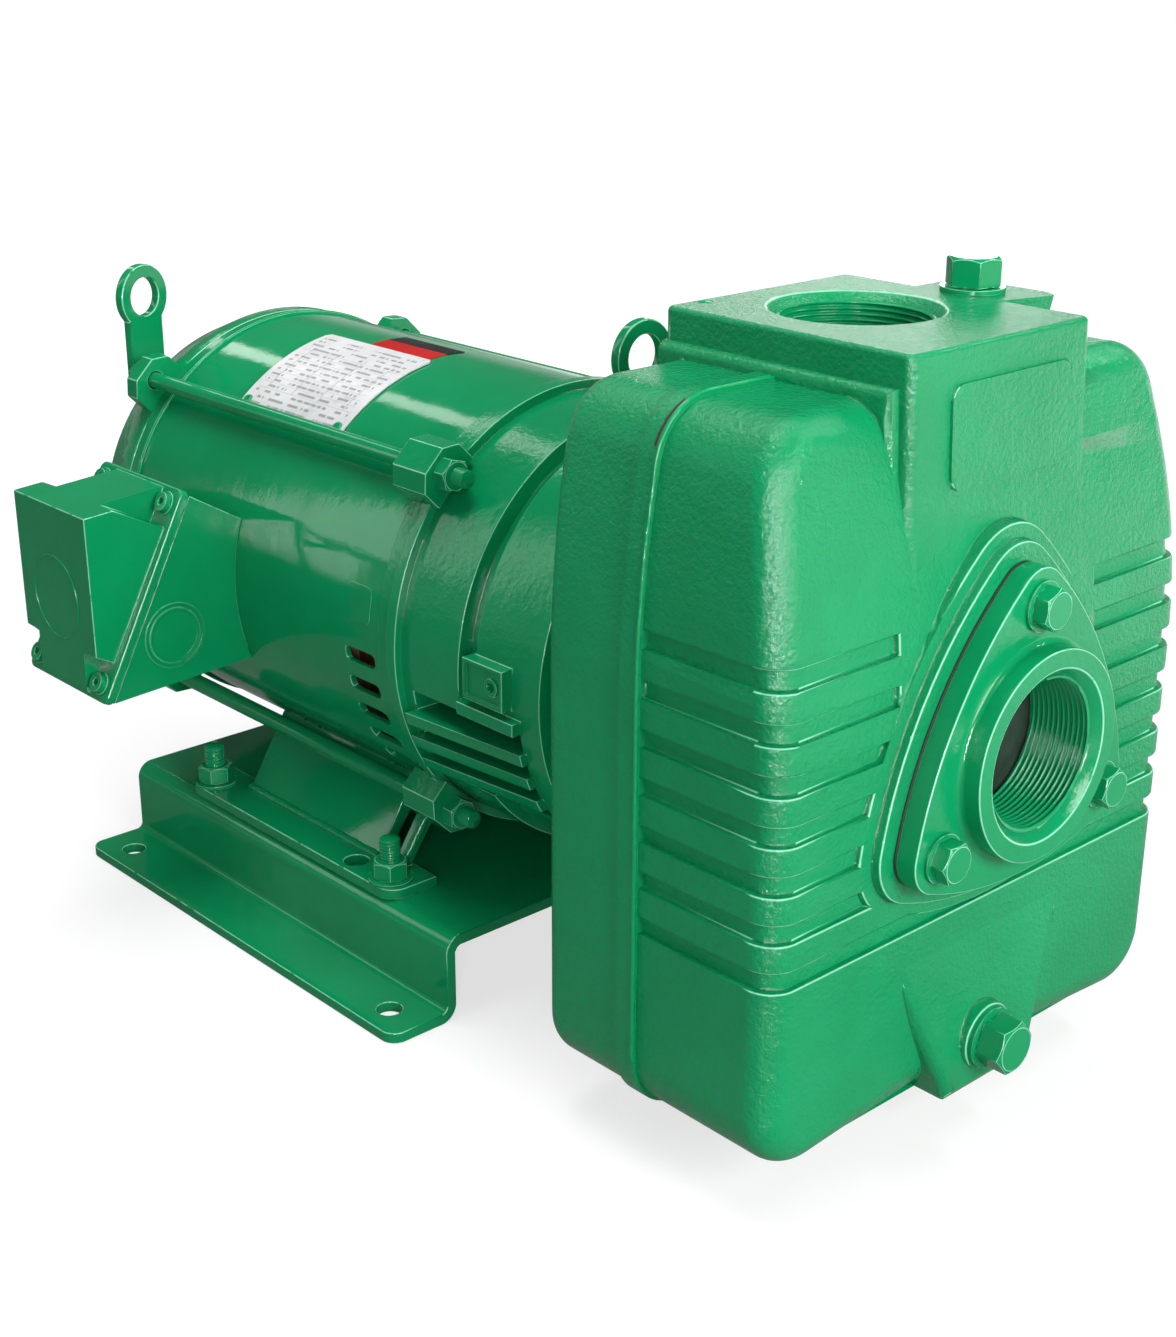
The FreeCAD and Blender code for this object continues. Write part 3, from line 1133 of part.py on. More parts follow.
def make_panel():
    """Bare raised panel on the column's front."""
    body = new_body("front_panel")
    outline = sketch_on(body, "YZ_Plane", "panel_outline", "block_front - panel_start")
    rectangle(outline, "-panel_near", "panel_low", "panel_far", "panel_high")
    pad(body, outline, "panel_depth")
    round_body(body, "panel_round", lambda e: runs_along(e, "x"), "panel_corners")
    trim = sketch_on(body, "XZ_Plane", "panel_trim")
    low_x = "column_bend_x + panel_rise"
    high_x = "block_front + panel_rise"
    polygon(trim, [(low_x, "column_bend"), (high_x, "block_top"), ("casing_front + 20", "block_top"),
                   ("casing_front + 20", "column_bend")])
    pocket(body, trim, "4 * block_half", middle=True)
    return body


def rounded_triangle(name, x, length, margin):
    """Three bulging sides and three round corners about the bolts, one corner up."""
    reach = "((flange_bolt_circle ^ 2 - (flange_bulge - flange_corner) ^ 2) / (2 * (flange_bulge - flange_corner)" \
            " - flange_bolt_circle))"
    sides = []
    for index, angle in enumerate((30, 150, 270)):
        sides.append(cylinder("%s_side%d" % (name, index), "%s + flange_bulge + %s" % (reach, margin),
                              length, x,
                              "-%s * cos(%d)" % (reach, angle),
                              "suction_height - %s * sin(%d)" % (reach, angle), "+X"))
    sharp = common(name + "_sharp", sides)
    return round_edges(name, sharp, "flange_corner + %s" % margin, lambda e: runs_along(e, "x"))


def flange_bolt_places():
    """Bolt places round the suction port, as y and z expressions."""
    for angle in (90, 210, 330):
        yield ("flange_bolt_circle * cos(%d)" % angle,
               "suction_height + flange_bolt_circle * sin(%d)" % angle)


def flange_bolt_holes(name, x, length, radius):
    return [cylinder("%s%d" % (name, number), radius, length, x, y, z, "+X")
            for number, (y, z) in enumerate(flange_bolt_places(), start=1)]


def make_keel():
    """Wedge under the flange that grows towards the drain plug."""
    body = new_body("drain_keel")
    side = sketch_on(body, "XZ_Plane", "keel_side")
    root = "casing_front - keel_root"
    toe = "casing_front + keel_reach"
    polygon(side, [(root, "casing_bottom + keel_heel_rise"), ("casing_front - keel_heel", "casing_bottom"),
                   (toe + " - keel_toe", "casing_bottom"), (toe, "casing_bottom + keel_toe_rise"),
                   (toe, "keel_low"), ("casing_front", "keel_top"), (root, "keel_top")])
    pad(body, side, "2 * keel_top_half", middle=True)
    wings = sketch_on(body, "YZ_Plane", "keel_wings")
    for sign in ("", "-"):
        polygon(wings, [(sign + "keel_top_half", "keel_top"), (sign + "keel_half", "casing_bottom"),
                        (sign + "keel_half", "-20"), (sign + "(keel_top_half + 20)", "-20"),
                        (sign + "(keel_top_half + 20)", "keel_top")])
    pocket(body, wings, "casing_front + 60", back=True)
    round_body(body, "keel_round", lambda e: middle_of(e).x > value("casing_front") - 1
               and abs(middle_of(e).y) > 10 and e.BoundBox.YLength > 0.5 and e.BoundBox.ZLength > 5,
               "keel_edges")
    return body


def make_fill_pad():
    """Pad beside the block that carries the priming plug."""
    body = new_body("fill_pad")
    outline = sketch_on(body, "XY_Plane", "fill_pad_outline", "fill_pad_top - fill_pad_depth")
    rectangle(outline, "fill_x - fill_pad_half", "block_half - 10", "fill_x + fill_pad_half",
              "fill_y + fill_pad_half")
    pad(body, outline, "fill_pad_depth")
    far = value("fill_y + fill_pad_half")
    round_body(body, "fill_pad_round", lambda e: runs_along(e, "z") and near(middle_of(e).y, far),
               "fill_pad_corners")
    return body


def make_casing():
    form = make_form("casing_form", "0")
    grooved = cut("grooved_form", form, make_grooves())
    land = rounded_triangle("flange_land", "casing_front - 20", "20", "land_margin")
    raised = rounded_triangle("flange_pad", "casing_front - 1", "pad_rise + 1", "pad_margin")
    boss = cylinder("drain_boss_rim", "drain_boss", "keel_reach + drain_boss_rise + 8", "casing_front - 8",
                    "-drain_shift", "drain_height", "+X")
    outside = fuse("casing_outside", [grooved, make_band(), make_column(), make_skirt(), make_panel(), land,
                                      raised, make_keel(), boss, make_fill_pad()])
    volute = ring("volute_wall_ring", "opening_radius + volute_wall", "opening_radius",
                  "eye_plate_x - " + CAVITY_REAR, CAVITY_REAR, AXIS_Z)
    throat = block("volute_throat", "eye_plate_x - " + CAVITY_REAR, "2 * throat_half", "throat_height",
                   CAVITY_REAR,
                   "-throat_half", AXIS_Z + " + opening_radius - 10")
    drain_hole = cylinder("return_hole_bore", "return_hole", "60", "(%s + eye_plate_x) / 2" % CAVITY_REAR,
                          "0",
                          AXIS_Z + " - opening_radius - 30", "+Z")
    open_volute = cut("open_volute", volute, fuse("volute_openings", [throat, drain_hole]))
    eye_disc = cylinder("eye_disc", "opening_radius + volute_wall", "eye_wall", "eye_plate_x", "0", AXIS_Z,
                        "+X")
    duct = cylinder("duct_outside", "duct_bore + volute_wall", "casing_front - eye_plate_x", "eye_plate_x",
                    "0",
                    "suction_height", "+X")
    walls = fuse("inner_walls", [open_volute, eye_disc, duct])
    hollow = cut("casing_hollow", make_form("casing_cavity", "casing_wall"), walls)
    tools = [hollow]
    tools.append(cylinder("rear_opening", "opening_radius", "casing_wall + 2", "casing_rear - 1", "0",
                          AXIS_Z, "+X"))
    tools.append(cylinder("eye_hole", "eye_bore", "eye_wall + 2", "eye_plate_x - 1", "0", AXIS_Z, "+X"))
    tools.append(cylinder("duct_inside", "duct_bore", "casing_front + pad_rise - eye_plate_x - eye_wall + 1",
                          "eye_plate_x + eye_wall", "0", "suction_height", "+X"))
    tools.append(cylinder("discharge_bore", "port_radius", "block_top - casing_top + casing_wall + 20",
                          "discharge_x", "0", "casing_top - casing_wall - 15", "+Z"))
    tools.append(cone("discharge_mouth", "port_radius", "port_mouth", "port_chamfer", "discharge_x", "0",
                      "block_top - port_chamfer", "+Z"))
    tools.append(cylinder("block_dimple", "dimple_radius", "dimple_depth + 1", "dimple_x", "-dimple_y",
                          "block_top - dimple_depth", "+Z"))
    tools.append(cylinder("fill_bore", "plug_shank + plug_gap", "fill_pad_depth + 20", "fill_x", "fill_y",
                          "fill_pad_top - fill_pad_depth - 10", "+Z"))
    tools.append(cylinder("drain_bore", "plug_shank + plug_gap", "60", "casing_front - 30", "-drain_shift",
                          "drain_height", "+X"))
    tools.extend(flange_bolt_holes("casing_bolt_hole", SCREW_TIP, "60", "flange_bolt_radius"))
    for number, (y, z) in enumerate(adapter_bolt_places(), start=1):
        tools.append(cylinder("casing_stud_hole%d" % number, "adapter_bolt_radius", "adapter_bolt_tip",
                              "casing_rear", y, z, "+X"))
    return cut("pump_casing", outside, fuse("casing_cuts", tools))


# Suction flange with its gasket, bolts and washers

SCREW_SEAT = "(%s + flange_washer_sheet)" % FLANGE_FACE
SCREW_TIP = "(%s + flange_washer_sheet - flange_bolt_length)" % FLANGE_FACE


def make_suction_gasket():
    sheet = rounded_triangle("gasket_sheet_form", "casing_front + pad_rise", "suction_gasket", "0")
    holes = flange_bolt_holes("gasket_hole", "casing_front + pad_rise", "suction_gasket",
                              "flange_bolt_radius")
    opening = cylinder("gasket_opening", "duct_bore", "suction_gasket", "casing_front + pad_rise", "0",
                       "suction_height", "+X")
    return cut("suction_gasket", sheet, fuse("gasket_cuts", holes + [opening]))


def make_suction_flange():
    plate = rounded_triangle("flange_plate_form", FLANGE_BACK, "flange_plate", "0")
    boss = cylinder("flange_boss", "suction_boss", "flange_plate + suction_boss_length", FLANGE_BACK, "0",
                    "suction_height", "+X")
    root = value(FLANGE_FACE)
    radius = value("suction_boss")
    blended = round_edges("flange_blend", fuse("flange_form", [plate, boss]), "boss_fillet",
                          lambda e: near(middle_of(e).x, root) and near(e.BoundBox.YLength, 2 * radius, 0.5))
    spigot = cylinder("flange_spigot", "suction_spigot", "suction_spigot_depth", SPIGOT_END, "0",
                      "suction_height", "+X")
    pieces = [blended, spigot]
    for number, y in enumerate(("-flap_pin_half", "flap_pin_half - flap_ear"), start=1):
        pieces.append(cylinder("ear_round%d" % number, "flap_ear_radius", "flap_ear", PIN_X, y, PIN_Z, "+Y"))
        pieces.append(block("ear_web%d" % number, SPIGOT_END + " - " + PIN_X, "flap_ear",
                            "2 * flap_ear_radius",
                            PIN_X, y, PIN_Z + " - flap_ear_radius"))
    cuts = flange_bolt_holes("flange_hole", FLANGE_BACK, "flange_plate",
                             "flange_bolt_radius + hole_clearance")
    cuts.append(cylinder("suction_bore", "port_radius", "60", SPIGOT_END + " - 5", "0", "suction_height",
                         "+X"))
    cuts.append(cone("suction_mouth", "port_radius", "port_mouth", "port_chamfer",
                     SUCTION_FACE + " - port_chamfer",
                     "0", "suction_height", "+X"))
    cuts.append(cylinder("flange_pin_hole", "flap_pin_radius", "2 * flap_pin_half", PIN_X, "-flap_pin_half",
                         PIN_Z,
                         "+Y"))
    return cut("suction_flange", fuse("flange_with_ears", pieces), fuse("flange_cuts", cuts))


def make_flange_bolts():
    bolts = []
    washers = []
    for number, (y, z) in enumerate(flange_bolt_places(), start=1):
        head = hexagon("flange_head%d" % number, "flange_bolt_flats", "flange_bolt_head", SCREW_SEAT, y, z,
                       "+X")
        rod = cylinder("flange_rod%d" % number, "flange_bolt_radius", "flange_bolt_length", SCREW_TIP, y, z,
                       "+X")
        bolts.append(fuse("flange_bolt%d" % number, [head, rod]))
        rim = cylinder("flange_washer_rim%d" % number, "flange_washer", "flange_washer_sheet", FLANGE_FACE,
                       y, z,
                       "+X")
        bore = cylinder("flange_washer_bore%d" % number, "flange_bolt_radius", "flange_washer_sheet",
                        FLANGE_FACE,
                        y, z, "+X")
        washers.append(cut("flange_washer%d" % number, rim, bore))
    return [group("flange_bolts", bolts), group("flange_washers", washers)]


# Flap valve behind the suction flange; it hangs from a pin and opens inwards

FLAP_FACE = "(%s - seat_gap)" % SPIGOT_END


def make_flap():
    disc = cylinder("flap_disc", "flap_radius", "flap_sheet", FLAP_FACE, "0", "suction_height", "-X")
    strap = block("flap_strap", "flap_sheet", "2 * flap_knuckle_half", "flap_pin_height - flap_strap_root",
                  FLAP_FACE + " - flap_sheet", "-flap_knuckle_half",
                  "suction_height + flap_strap_root")
    knuckle = cylinder("flap_knuckle_round", "flap_knuckle", "2 * flap_knuckle_half", PIN_X,
                       "-flap_knuckle_half", PIN_Z, "+Y")
    hole = cylinder("flap_pin_hole", "flap_pin_radius + pin_fit", "2 * flap_knuckle_half + 2", PIN_X,
                    "-flap_knuckle_half - 1", PIN_Z, "+Y")
    weight = cylinder("flap_weight", "flap_weight_radius", "flap_weight_sheet", FLAP_FACE + " - flap_sheet",
                      "0",
                      "suction_height", "-X")
    pin = cylinder("flap_pin", "flap_pin_radius", "2 * flap_pin_half", PIN_X, "-flap_pin_half", PIN_Z, "+Y")
    return [cut("suction_flap", fuse("flap_form", [disc, strap, knuckle]), hole), weight, pin]


# Priming and drain plugs, each with its washer

def make_plug(name, washer_name, x, y, z, along):
    """Hex plug whose washer lies on the pad; the head stands one small gap above the washer."""
    steps = {"+Z": (0, 0, 1), "+X": (1, 0, 0)}[along]

    def spot(distance):
        return ["%s + (%s) * %d" % (place_text, distance, step) for place_text, step in zip((x, y, z), steps)]

    head = hexagon(name + "_head", "plug_flats", "plug_head", *spot("washer_sheet + plug_gap"), along)
    shank = cylinder(name + "_shank", "plug_shank", "plug_length + washer_sheet + plug_gap",
                     *spot("-plug_length"), along)
    rim = cylinder(washer_name + "_rim", "plug_washer", "washer_sheet", *spot("0"), along)
    bore = cylinder(washer_name + "_bore", "plug_shank + plug_gap", "washer_sheet", *spot("0"), along)
    return [fuse(name, [head, shank]), cut(washer_name, rim, bore)]


# Studs set in the channel, with washers and nuts on the motor feet

def foot_stud_places():
    for sign_x in ("+", "-"):
        for sign_y in ("", "-"):
            yield "foot_shift %s foot_span_x / 2" % sign_x, sign_y + "foot_span_y / 2"


def make_foot_fasteners():
    studs = []
    nuts = []
    washers = []
    seat = FOOT_TOP + " + foot_washer_sheet"
    length = "base_plate + foot_plate + foot_washer_sheet + foot_nut_height + foot_stud_stub"
    for number, (x, y) in enumerate(foot_stud_places(), start=1):
        studs.append(cylinder("foot_stud%d" % number, "foot_stud_radius", length, x, y,
                              "base_height - base_plate"))
        nut = hexagon("foot_nut_body%d" % number, "foot_nut_flats", "foot_nut_height", x, y, seat)
        bore = cylinder("foot_nut_bore%d" % number, "foot_stud_radius", "foot_nut_height", x, y, seat)
        nuts.append(cut("foot_nut%d" % number, nut, bore))
        rim = cylinder("foot_washer_rim%d" % number, "foot_washer", "foot_washer_sheet", x, y, FOOT_TOP)
        hole = cylinder("foot_washer_bore%d" % number, "foot_stud_radius", "foot_washer_sheet", x, y,
                        FOOT_TOP)
        washers.append(cut("foot_washer%d" % number, rim, hole))
    return [group("foot_studs", studs), group("foot_nuts", nuts), group("foot_washers", washers)]


# The list of sub-parts

PARTS = []


def keep(items):
    PARTS.extend(items if isinstance(items, list) else [items])


rear_bell = make_end_bell()
bracket = make_bracket()
keep(make_base())
keep(make_foot("motor_foot_near", -1))
keep(make_foot("motor_foot_far", 1))
keep(make_foot_fasteners())
keep(make_shell())
keep(rear_bell)
keep(bracket)
keep(make_bracket_plug())
keep(make_through_bolts())
keep(make_eye("rear_lifting_eye", "rear_eye_x", "rear_eye_y", "rear_eye_height", "rear_eye_reach", "eye_turn",
              rear_bell))
keep(make_eye("front_lifting_eye", "front_eye_x", "0", "front_eye_height", "front_eye_reach", "0", bracket))
keep(make_nameplate())
keep(make_conduit_box())
keep(make_conduit_gasket())
keep(make_conduit_cover())
keep(make_conduit_screws())
keep(make_knockout())
keep(make_electrical())
keep(make_fan())
keep(make_shaft())
keep(make_bearing("rear_bearing", "rear_bearing_x"))
keep(make_bearing("front_bearing", "front_bearing_x"))
keep(make_adapter())
keep(make_adapter_bolts())
keep(make_casing_gasket())
keep(make_seal())
keep(make_impeller())
keep(make_impeller_bolt())
keep(make_casing())
keep(make_suction_gasket())
keep(make_suction_flange())
keep(make_flange_bolts())
keep(make_flap())
keep(make_plug("priming_plug", "priming_washer", "fill_x", "fill_y", "fill_pad_top", "+Z"))
keep(make_plug("drain_plug", "drain_washer", "casing_front + keel_reach + drain_boss_rise", "-drain_shift",
               "drain_height", "+X"))

DOC.recompute()
for item in DOC.Objects:
    if "Invalid" in item.State or "Error" in item.State:
        raise RuntimeError("%s is %s" % (item.Name, item.State))
os.makedirs("parts", exist_ok=True)
for part in PARTS:
    if part.Shape.isNull() or not part.Shape.isValid():
        raise RuntimeError(part.Name + " has no valid shape")
for part in PARTS:
    part.Label = part.Name
    part.Shape.exportStep("parts/%s.step" % part.Label)
print(len(PARTS), "sub-parts written")
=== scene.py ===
# Looks of the self-priming pump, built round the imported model. Lengths are in metres.
import json
import math
import bmesh
import bpy
import numpy
from mathutils import Matrix, Vector
from mathutils.bvhtree import BVHTree
from mathutils.kdtree import KDTree


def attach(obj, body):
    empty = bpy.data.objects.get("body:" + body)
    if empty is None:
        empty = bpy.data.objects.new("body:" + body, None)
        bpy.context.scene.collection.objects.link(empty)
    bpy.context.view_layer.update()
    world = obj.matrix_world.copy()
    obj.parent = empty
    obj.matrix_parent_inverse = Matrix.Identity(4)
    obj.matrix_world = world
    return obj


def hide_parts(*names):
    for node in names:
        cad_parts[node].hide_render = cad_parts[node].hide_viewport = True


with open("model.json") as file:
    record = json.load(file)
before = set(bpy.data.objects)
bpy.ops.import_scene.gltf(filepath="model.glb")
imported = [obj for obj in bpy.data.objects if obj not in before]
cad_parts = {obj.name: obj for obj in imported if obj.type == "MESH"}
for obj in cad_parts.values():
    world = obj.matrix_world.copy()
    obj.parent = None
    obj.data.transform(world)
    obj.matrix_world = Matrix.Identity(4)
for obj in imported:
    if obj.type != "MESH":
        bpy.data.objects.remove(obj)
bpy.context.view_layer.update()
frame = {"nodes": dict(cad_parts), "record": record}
NODES = frame["nodes"]
BODY_OF = {name: body for body, names in frame["record"]["behaviour"]["bodies"].items() for name in names}
SLOT_OF = {row["node"]: row["material_slot"] for row in frame["record"]["subparts"]}
MM = 0.001
AXIS_Z = 0.1543
SHELL_RADIUS = 0.0985


# Node helpers for materials and for repeated pieces

def add_node(tree, kind, links=None, **settings):
    """Node with its attributes set and its inputs linked or valued by name or number."""
    node = tree.nodes.new(kind)
    for key, value in settings.items():
        setattr(node, key, value)
    for key, source in (links or {}).items():
        if isinstance(source, bpy.types.NodeSocket):
            tree.links.new(source, node.inputs[key])
        else:
            node.inputs[key].default_value = source
    return node


def shader_node(tree, kind, links=None, **settings):
    return add_node(tree, "ShaderNode" + kind, links, **settings)


def arithmetic(tree, operation, first, *others):
    """One operation worked through all the values, from the left."""
    result = first
    for value in others or (0.0,):
        result = shader_node(tree, "Math", {0: result, 1: value}, operation=operation).outputs[0]
    return result


def times(tree, *values):
    return arithmetic(tree, "MULTIPLY", *values)


def plus(tree, *values):
    return arithmetic(tree, "ADD", *values)


def minus(tree, first, second):
    return arithmetic(tree, "SUBTRACT", first, second)


def above(tree, value, limit):
    """1 over the limit, else 0."""
    return arithmetic(tree, "GREATER_THAN", value, limit)


def band_at(tree, value, middle, half):
    """1 within a half width of the middle, else 0."""
    return shader_node(tree, "Math", {0: value, 1: middle, 2: half}, operation="COMPARE").outputs[0]


def ramp(tree, source, low, high, to_low=0.0, to_high=1.0):
    """Value that rises smoothly from one level to another between two values of the source."""
    limits = {"Value": source, "From Min": low, "From Max": high, "To Min": to_low, "To Max": to_high}
    return shader_node(tree, "MapRange", limits, clamp=True, interpolation_type="SMOOTHSTEP").outputs["Result"]


def noise(tree, place, scale, detail=3.0, roughness=0.5):
    sizes = {"Vector": place, "Scale": scale, "Detail": detail, "Roughness": roughness}
    return shader_node(tree, "TexNoise", sizes).outputs["Fac"]


def parts_of(tree, vector):
    return shader_node(tree, "SeparateXYZ", {0: vector}).outputs


def point(tree, x=0.0, y=0.0, z=0.0):
    return shader_node(tree, "CombineXYZ", {0: x, 1: y, 2: z}).outputs[0]


def texture_place(tree, kind="Object"):
    return shader_node(tree, "TexCoord").outputs[kind]


def new_group(name, inputs, outputs):
    tree = bpy.data.node_groups.new(name, "ShaderNodeTree")
    for label, value in inputs.items():
        socket = tree.interface.new_socket(label, in_out="INPUT", socket_type="NodeSocketFloat")
        socket.default_value = value
    for label, kind in outputs.items():
        tree.interface.new_socket(label, in_out="OUTPUT", socket_type=kind)
    return tree, tree.nodes.new("NodeGroupInput").outputs, tree.nodes.new("NodeGroupOutput").inputs


# Effects shared by the materials

# Outputs: wear and painted highlight along convex edges, painted shade in inner corners
EDGE_OUTPUTS = {"Wear And Highlight": "NodeSocketFloat", "Corner Shade": "NodeSocketFloat"}
FINISH_OUTPUTS = {"Tone": "NodeSocketFloat", "Roughness": "NodeSocketFloat", "Normal": "NodeSocketVector"}


def make_edge_group():
    """Convex edges for wear and a painted highlight, and inner corners for painted shade, from the pieces' own
    edge attribute, broken up by noise.
    """
    tree, given, result = new_group("edge_wear_highlight_and_shade", {"Break Up": 160.0, "Amount": 0.5}, EDGE_OUTPUTS)
    edge = shader_node(tree, "Attribute", attribute_name="edge", attribute_type="GEOMETRY").outputs["Fac"]
    patches = noise(tree, texture_place(tree), given["Break Up"], detail=4.0, roughness=0.62)
    low = minus(tree, 0.95, given["Amount"])
    broken_up = ramp(tree, patches, low, plus(tree, low, 0.12))
    # Convex edges: wear, and a painted highlight where the amount is high
    tree.links.new(times(tree, ramp(tree, edge, 0.35, 0.9), broken_up), result["Wear And Highlight"])
    # Inner corners: painted shade
    tree.links.new(ramp(tree, edge, -0.2, -0.9), result["Corner Shade"])
    return tree


def make_paint_group():
    """Thick gloss paint: pooled tone, gloss that varies, orange peel and the casting's skin under it."""
    tree, given, result = new_group(
        "paint_film", {"Peel Scale": 700.0, "Peel": 0.3, "Skin Scale": 330.0, "Skin": 0.0, "Pits": 0.0,
                       "Wave Scale": 60.0, "Wave": 0.2, "Gloss Low": 0.07, "Gloss High": 0.15}, FINISH_OUTPUTS)
    place = texture_place(tree)
    pooled = noise(tree, place, 16.0, detail=5.0, roughness=0.6)
    tree.links.new(ramp(tree, pooled, 0.3, 0.72), result["Tone"])
    haze = noise(tree, place, 55.0)
    tree.links.new(ramp(tree, haze, 0.3, 0.7, given["Gloss Low"], given["Gloss High"]), result["Roughness"])
    peel = noise(tree, place, given["Peel Scale"], detail=2.0)
    skin = noise(tree, place, given["Skin Scale"], detail=4.0, roughness=0.6)
    cells = shader_node(tree, "TexVoronoi", {"Vector": place, "Scale": 240.0}).outputs["Distance"]
    pits = ramp(tree, cells, 0.0, 0.22)
    wave = noise(tree, place, given["Wave Scale"], detail=2.0)
    normal = None
    for height, share, reach in ((wave, "Wave", 0.0015), (skin, "Skin", 0.0007), (pits, "Pits", 0.0003),
                                 (peel, "Peel", 0.0003)):
        links = {"Height": height, "Strength": given[share], "Distance": reach}
        if normal:
            links["Normal"] = normal
        normal = shader_node(tree, "Bump", links).outputs["Normal"]
    tree.links.new(normal, result["Normal"])
    return tree


def make_metal_group():
    """Machined or rolled bare metal: fine lines along the shaft, stains and dull patches."""
    tree, given, result = new_group(
        "bare_metal", {"Line Scale": 900.0, "Lines": 0.15, "Stain Scale": 35.0, "Rough Low": 0.25,
                       "Rough High": 0.5}, FINISH_OUTPUTS)
    place = texture_place(tree)
    stretched = shader_node(tree, "Mapping", {"Vector": place, "Scale": (1.0, 0.04, 0.04)}).outputs["Vector"]
    lines = noise(tree, stretched, given["Line Scale"])
    stain = noise(tree, place, given["Stain Scale"], detail=6.0, roughness=0.65)
    tree.links.new(ramp(tree, stain, 0.35, 0.7), result["Tone"])
    tree.links.new(ramp(tree, stain, 0.3, 0.7, given["Rough Low"], given["Rough High"]), result["Roughness"])
    bump = shader_node(tree, "Bump", {"Height": lines, "Strength": given["Lines"], "Distance": 0.0002})
    tree.links.new(bump.outputs["Normal"], result["Normal"])
    return tree


EDGES = make_edge_group()
PAINT = make_paint_group()
METAL = make_metal_group()


# Materials

def start_material(name, **constants):
    material = bpy.data.materials.new(name)
    material.use_nodes = True
    shader = material.node_tree.nodes["Principled BSDF"]
    for label, value in constants.items():
        shader.inputs[label.replace("_", " ")].default_value = value
    return material, material.node_tree, shader


def use_group(tree, group, **values):
    node = tree.nodes.new("ShaderNodeGroup")
    node.node_tree = group
    for label, value in values.items():
        node.inputs[label.replace("_", " ")].default_value = value
    return node.outputs


def mix_colours(tree, mask, first, second):
    """Colour between two, each a colour or a socket."""
    node = shader_node(tree, "Mix", data_type="RGBA")
    tree.links.new(mask, node.inputs["Factor"])
    for socket, colour in ((node.inputs[6], first), (node.inputs[7], second)):
        if isinstance(colour, bpy.types.NodeSocket):
            tree.links.new(colour, socket)
        else:
            socket.default_value = (*colour, 1.0)
    return node.outputs[2]


def feed_shader(tree, shader, colour, surface):
    """Link a finish's colour, gloss and fine relief to the material's shader."""
    tree.links.new(colour, shader.inputs["Base Color"])
    for label in ("Roughness", "Normal"):
        tree.links.new(surface[label], shader.inputs[label])


def grey(level):
    return (level, level, level)


DEEP_GREEN = (0.0025, 0.262, 0.092)
FRESH_GREEN = (0.004, 0.300, 0.110)
# Pale green along convex edges: wear and a painted highlight
EDGE_HIGHLIGHT_GREEN = (0.26, 0.70, 0.47)
# Dark green in inner corners: painted shade and pooled paint
SHADED_CORNER_GREEN = (0.002, 0.16, 0.055)
WHITE_LOW, WHITE_HIGH = (0.68, 0.69, 0.70), (0.78, 0.79, 0.80)
PRINT_GREY = (0.10, 0.10, 0.11)
RED_LOW, RED_HIGH = (0.42, 0.012, 0.012), (0.55, 0.02, 0.018)
LABEL_BLACK = (0.02, 0.02, 0.021)


def green_paint(name, wear_and_highlight=0.6, **film):
    """Green gloss paint: pale along the edges, as wear and painted highlight, and dark in the corners, as
    pooled paint and painted shade.
    """
    material, tree, shader = start_material(name, Specular_IOR_Level=0.3)
    surface = use_group(tree, PAINT, **film)
    edges = use_group(tree, EDGES, Amount=wear_and_highlight)
    body = mix_colours(tree, surface["Tone"], DEEP_GREEN, FRESH_GREEN)
    # Painted highlight, with some wear, along convex edges
    worn_and_highlit = mix_colours(tree, edges["Wear And Highlight"], body, EDGE_HIGHLIGHT_GREEN)
    # Painted shade, with pooled paint, in inner corners
    feed_shader(tree, shader, mix_colours(tree, edges["Corner Shade"], worn_and_highlit, SHADED_CORNER_GREEN), surface)
    return material


def bare(name, dark, light, metallic=1.0, **finish):
    """Unpainted finish between two tones, with the light one along worn edges."""
    material, tree, shader = start_material(name, Metallic=metallic)
    surface = use_group(tree, METAL, **finish)
    edges = use_group(tree, EDGES, Amount=0.7)
    body = mix_colours(tree, surface["Tone"], dark, light)
    feed_shader(tree, shader, mix_colours(tree, edges["Wear And Highlight"], body, light), surface)
    return material


def printed_plate():
    """White plate printed with rows of small grey marks and ruled boxes in place of any words."""
    material, tree, shader = start_material("printed_plate", Specular_IOR_Level=0.3)
    rows, marks, groups, boxes = 17.0, 62.0, 7.0, 4.0
    spot = parts_of(tree, texture_place(tree, "UV"))
    row = times(tree, spot[1], rows)
    number, in_row = arithmetic(tree, "FLOOR", row), arithmetic(tree, "FRACT", row)
    mark = times(tree, spot[0], marks)
    in_mark = band_at(tree, arithmetic(tree, "FRACT", mark), 0.4, 0.34)
    cell = point(tree, arithmetic(tree, "FLOOR", mark), number)
    present = shader_node(tree, "TexWhiteNoise", {0: cell}, noise_dimensions="2D").outputs["Value"]
    stretch = point(tree, times(tree, spot[0], groups), number)
    grouped = above(tree, noise(tree, stretch, 1.0, detail=1.0), 0.47)
    printed = times(tree, above(tree, present, 0.22), grouped, in_mark, band_at(tree, in_row, 0.5, 0.2), 0.85)
    in_box = arithmetic(tree, "FRACT", times(tree, spot[0], boxes))
    lines = arithmetic(tree, "MAXIMUM", band_at(tree, in_row, 0.0, 0.05), band_at(tree, in_box, 0.5, 0.012))
    ruled = times(tree, lines, band_at(tree, number, 8.0, 4.5), 0.55)
    inside = times(tree, band_at(tree, spot[0], 0.5, 0.45), band_at(tree, spot[1], 0.5, 0.44))
    ink = times(tree, arithmetic(tree, "MAXIMUM", printed, ruled), inside)
    surface = use_group(tree, METAL, Line_Scale=1400.0, Lines=0.05, Rough_Low=0.25, Rough_High=0.4)
    pale = mix_colours(tree, surface["Tone"], WHITE_LOW, WHITE_HIGH)
    feed_shader(tree, shader, mix_colours(tree, ink, pale, PRINT_GREY), surface)
    return material


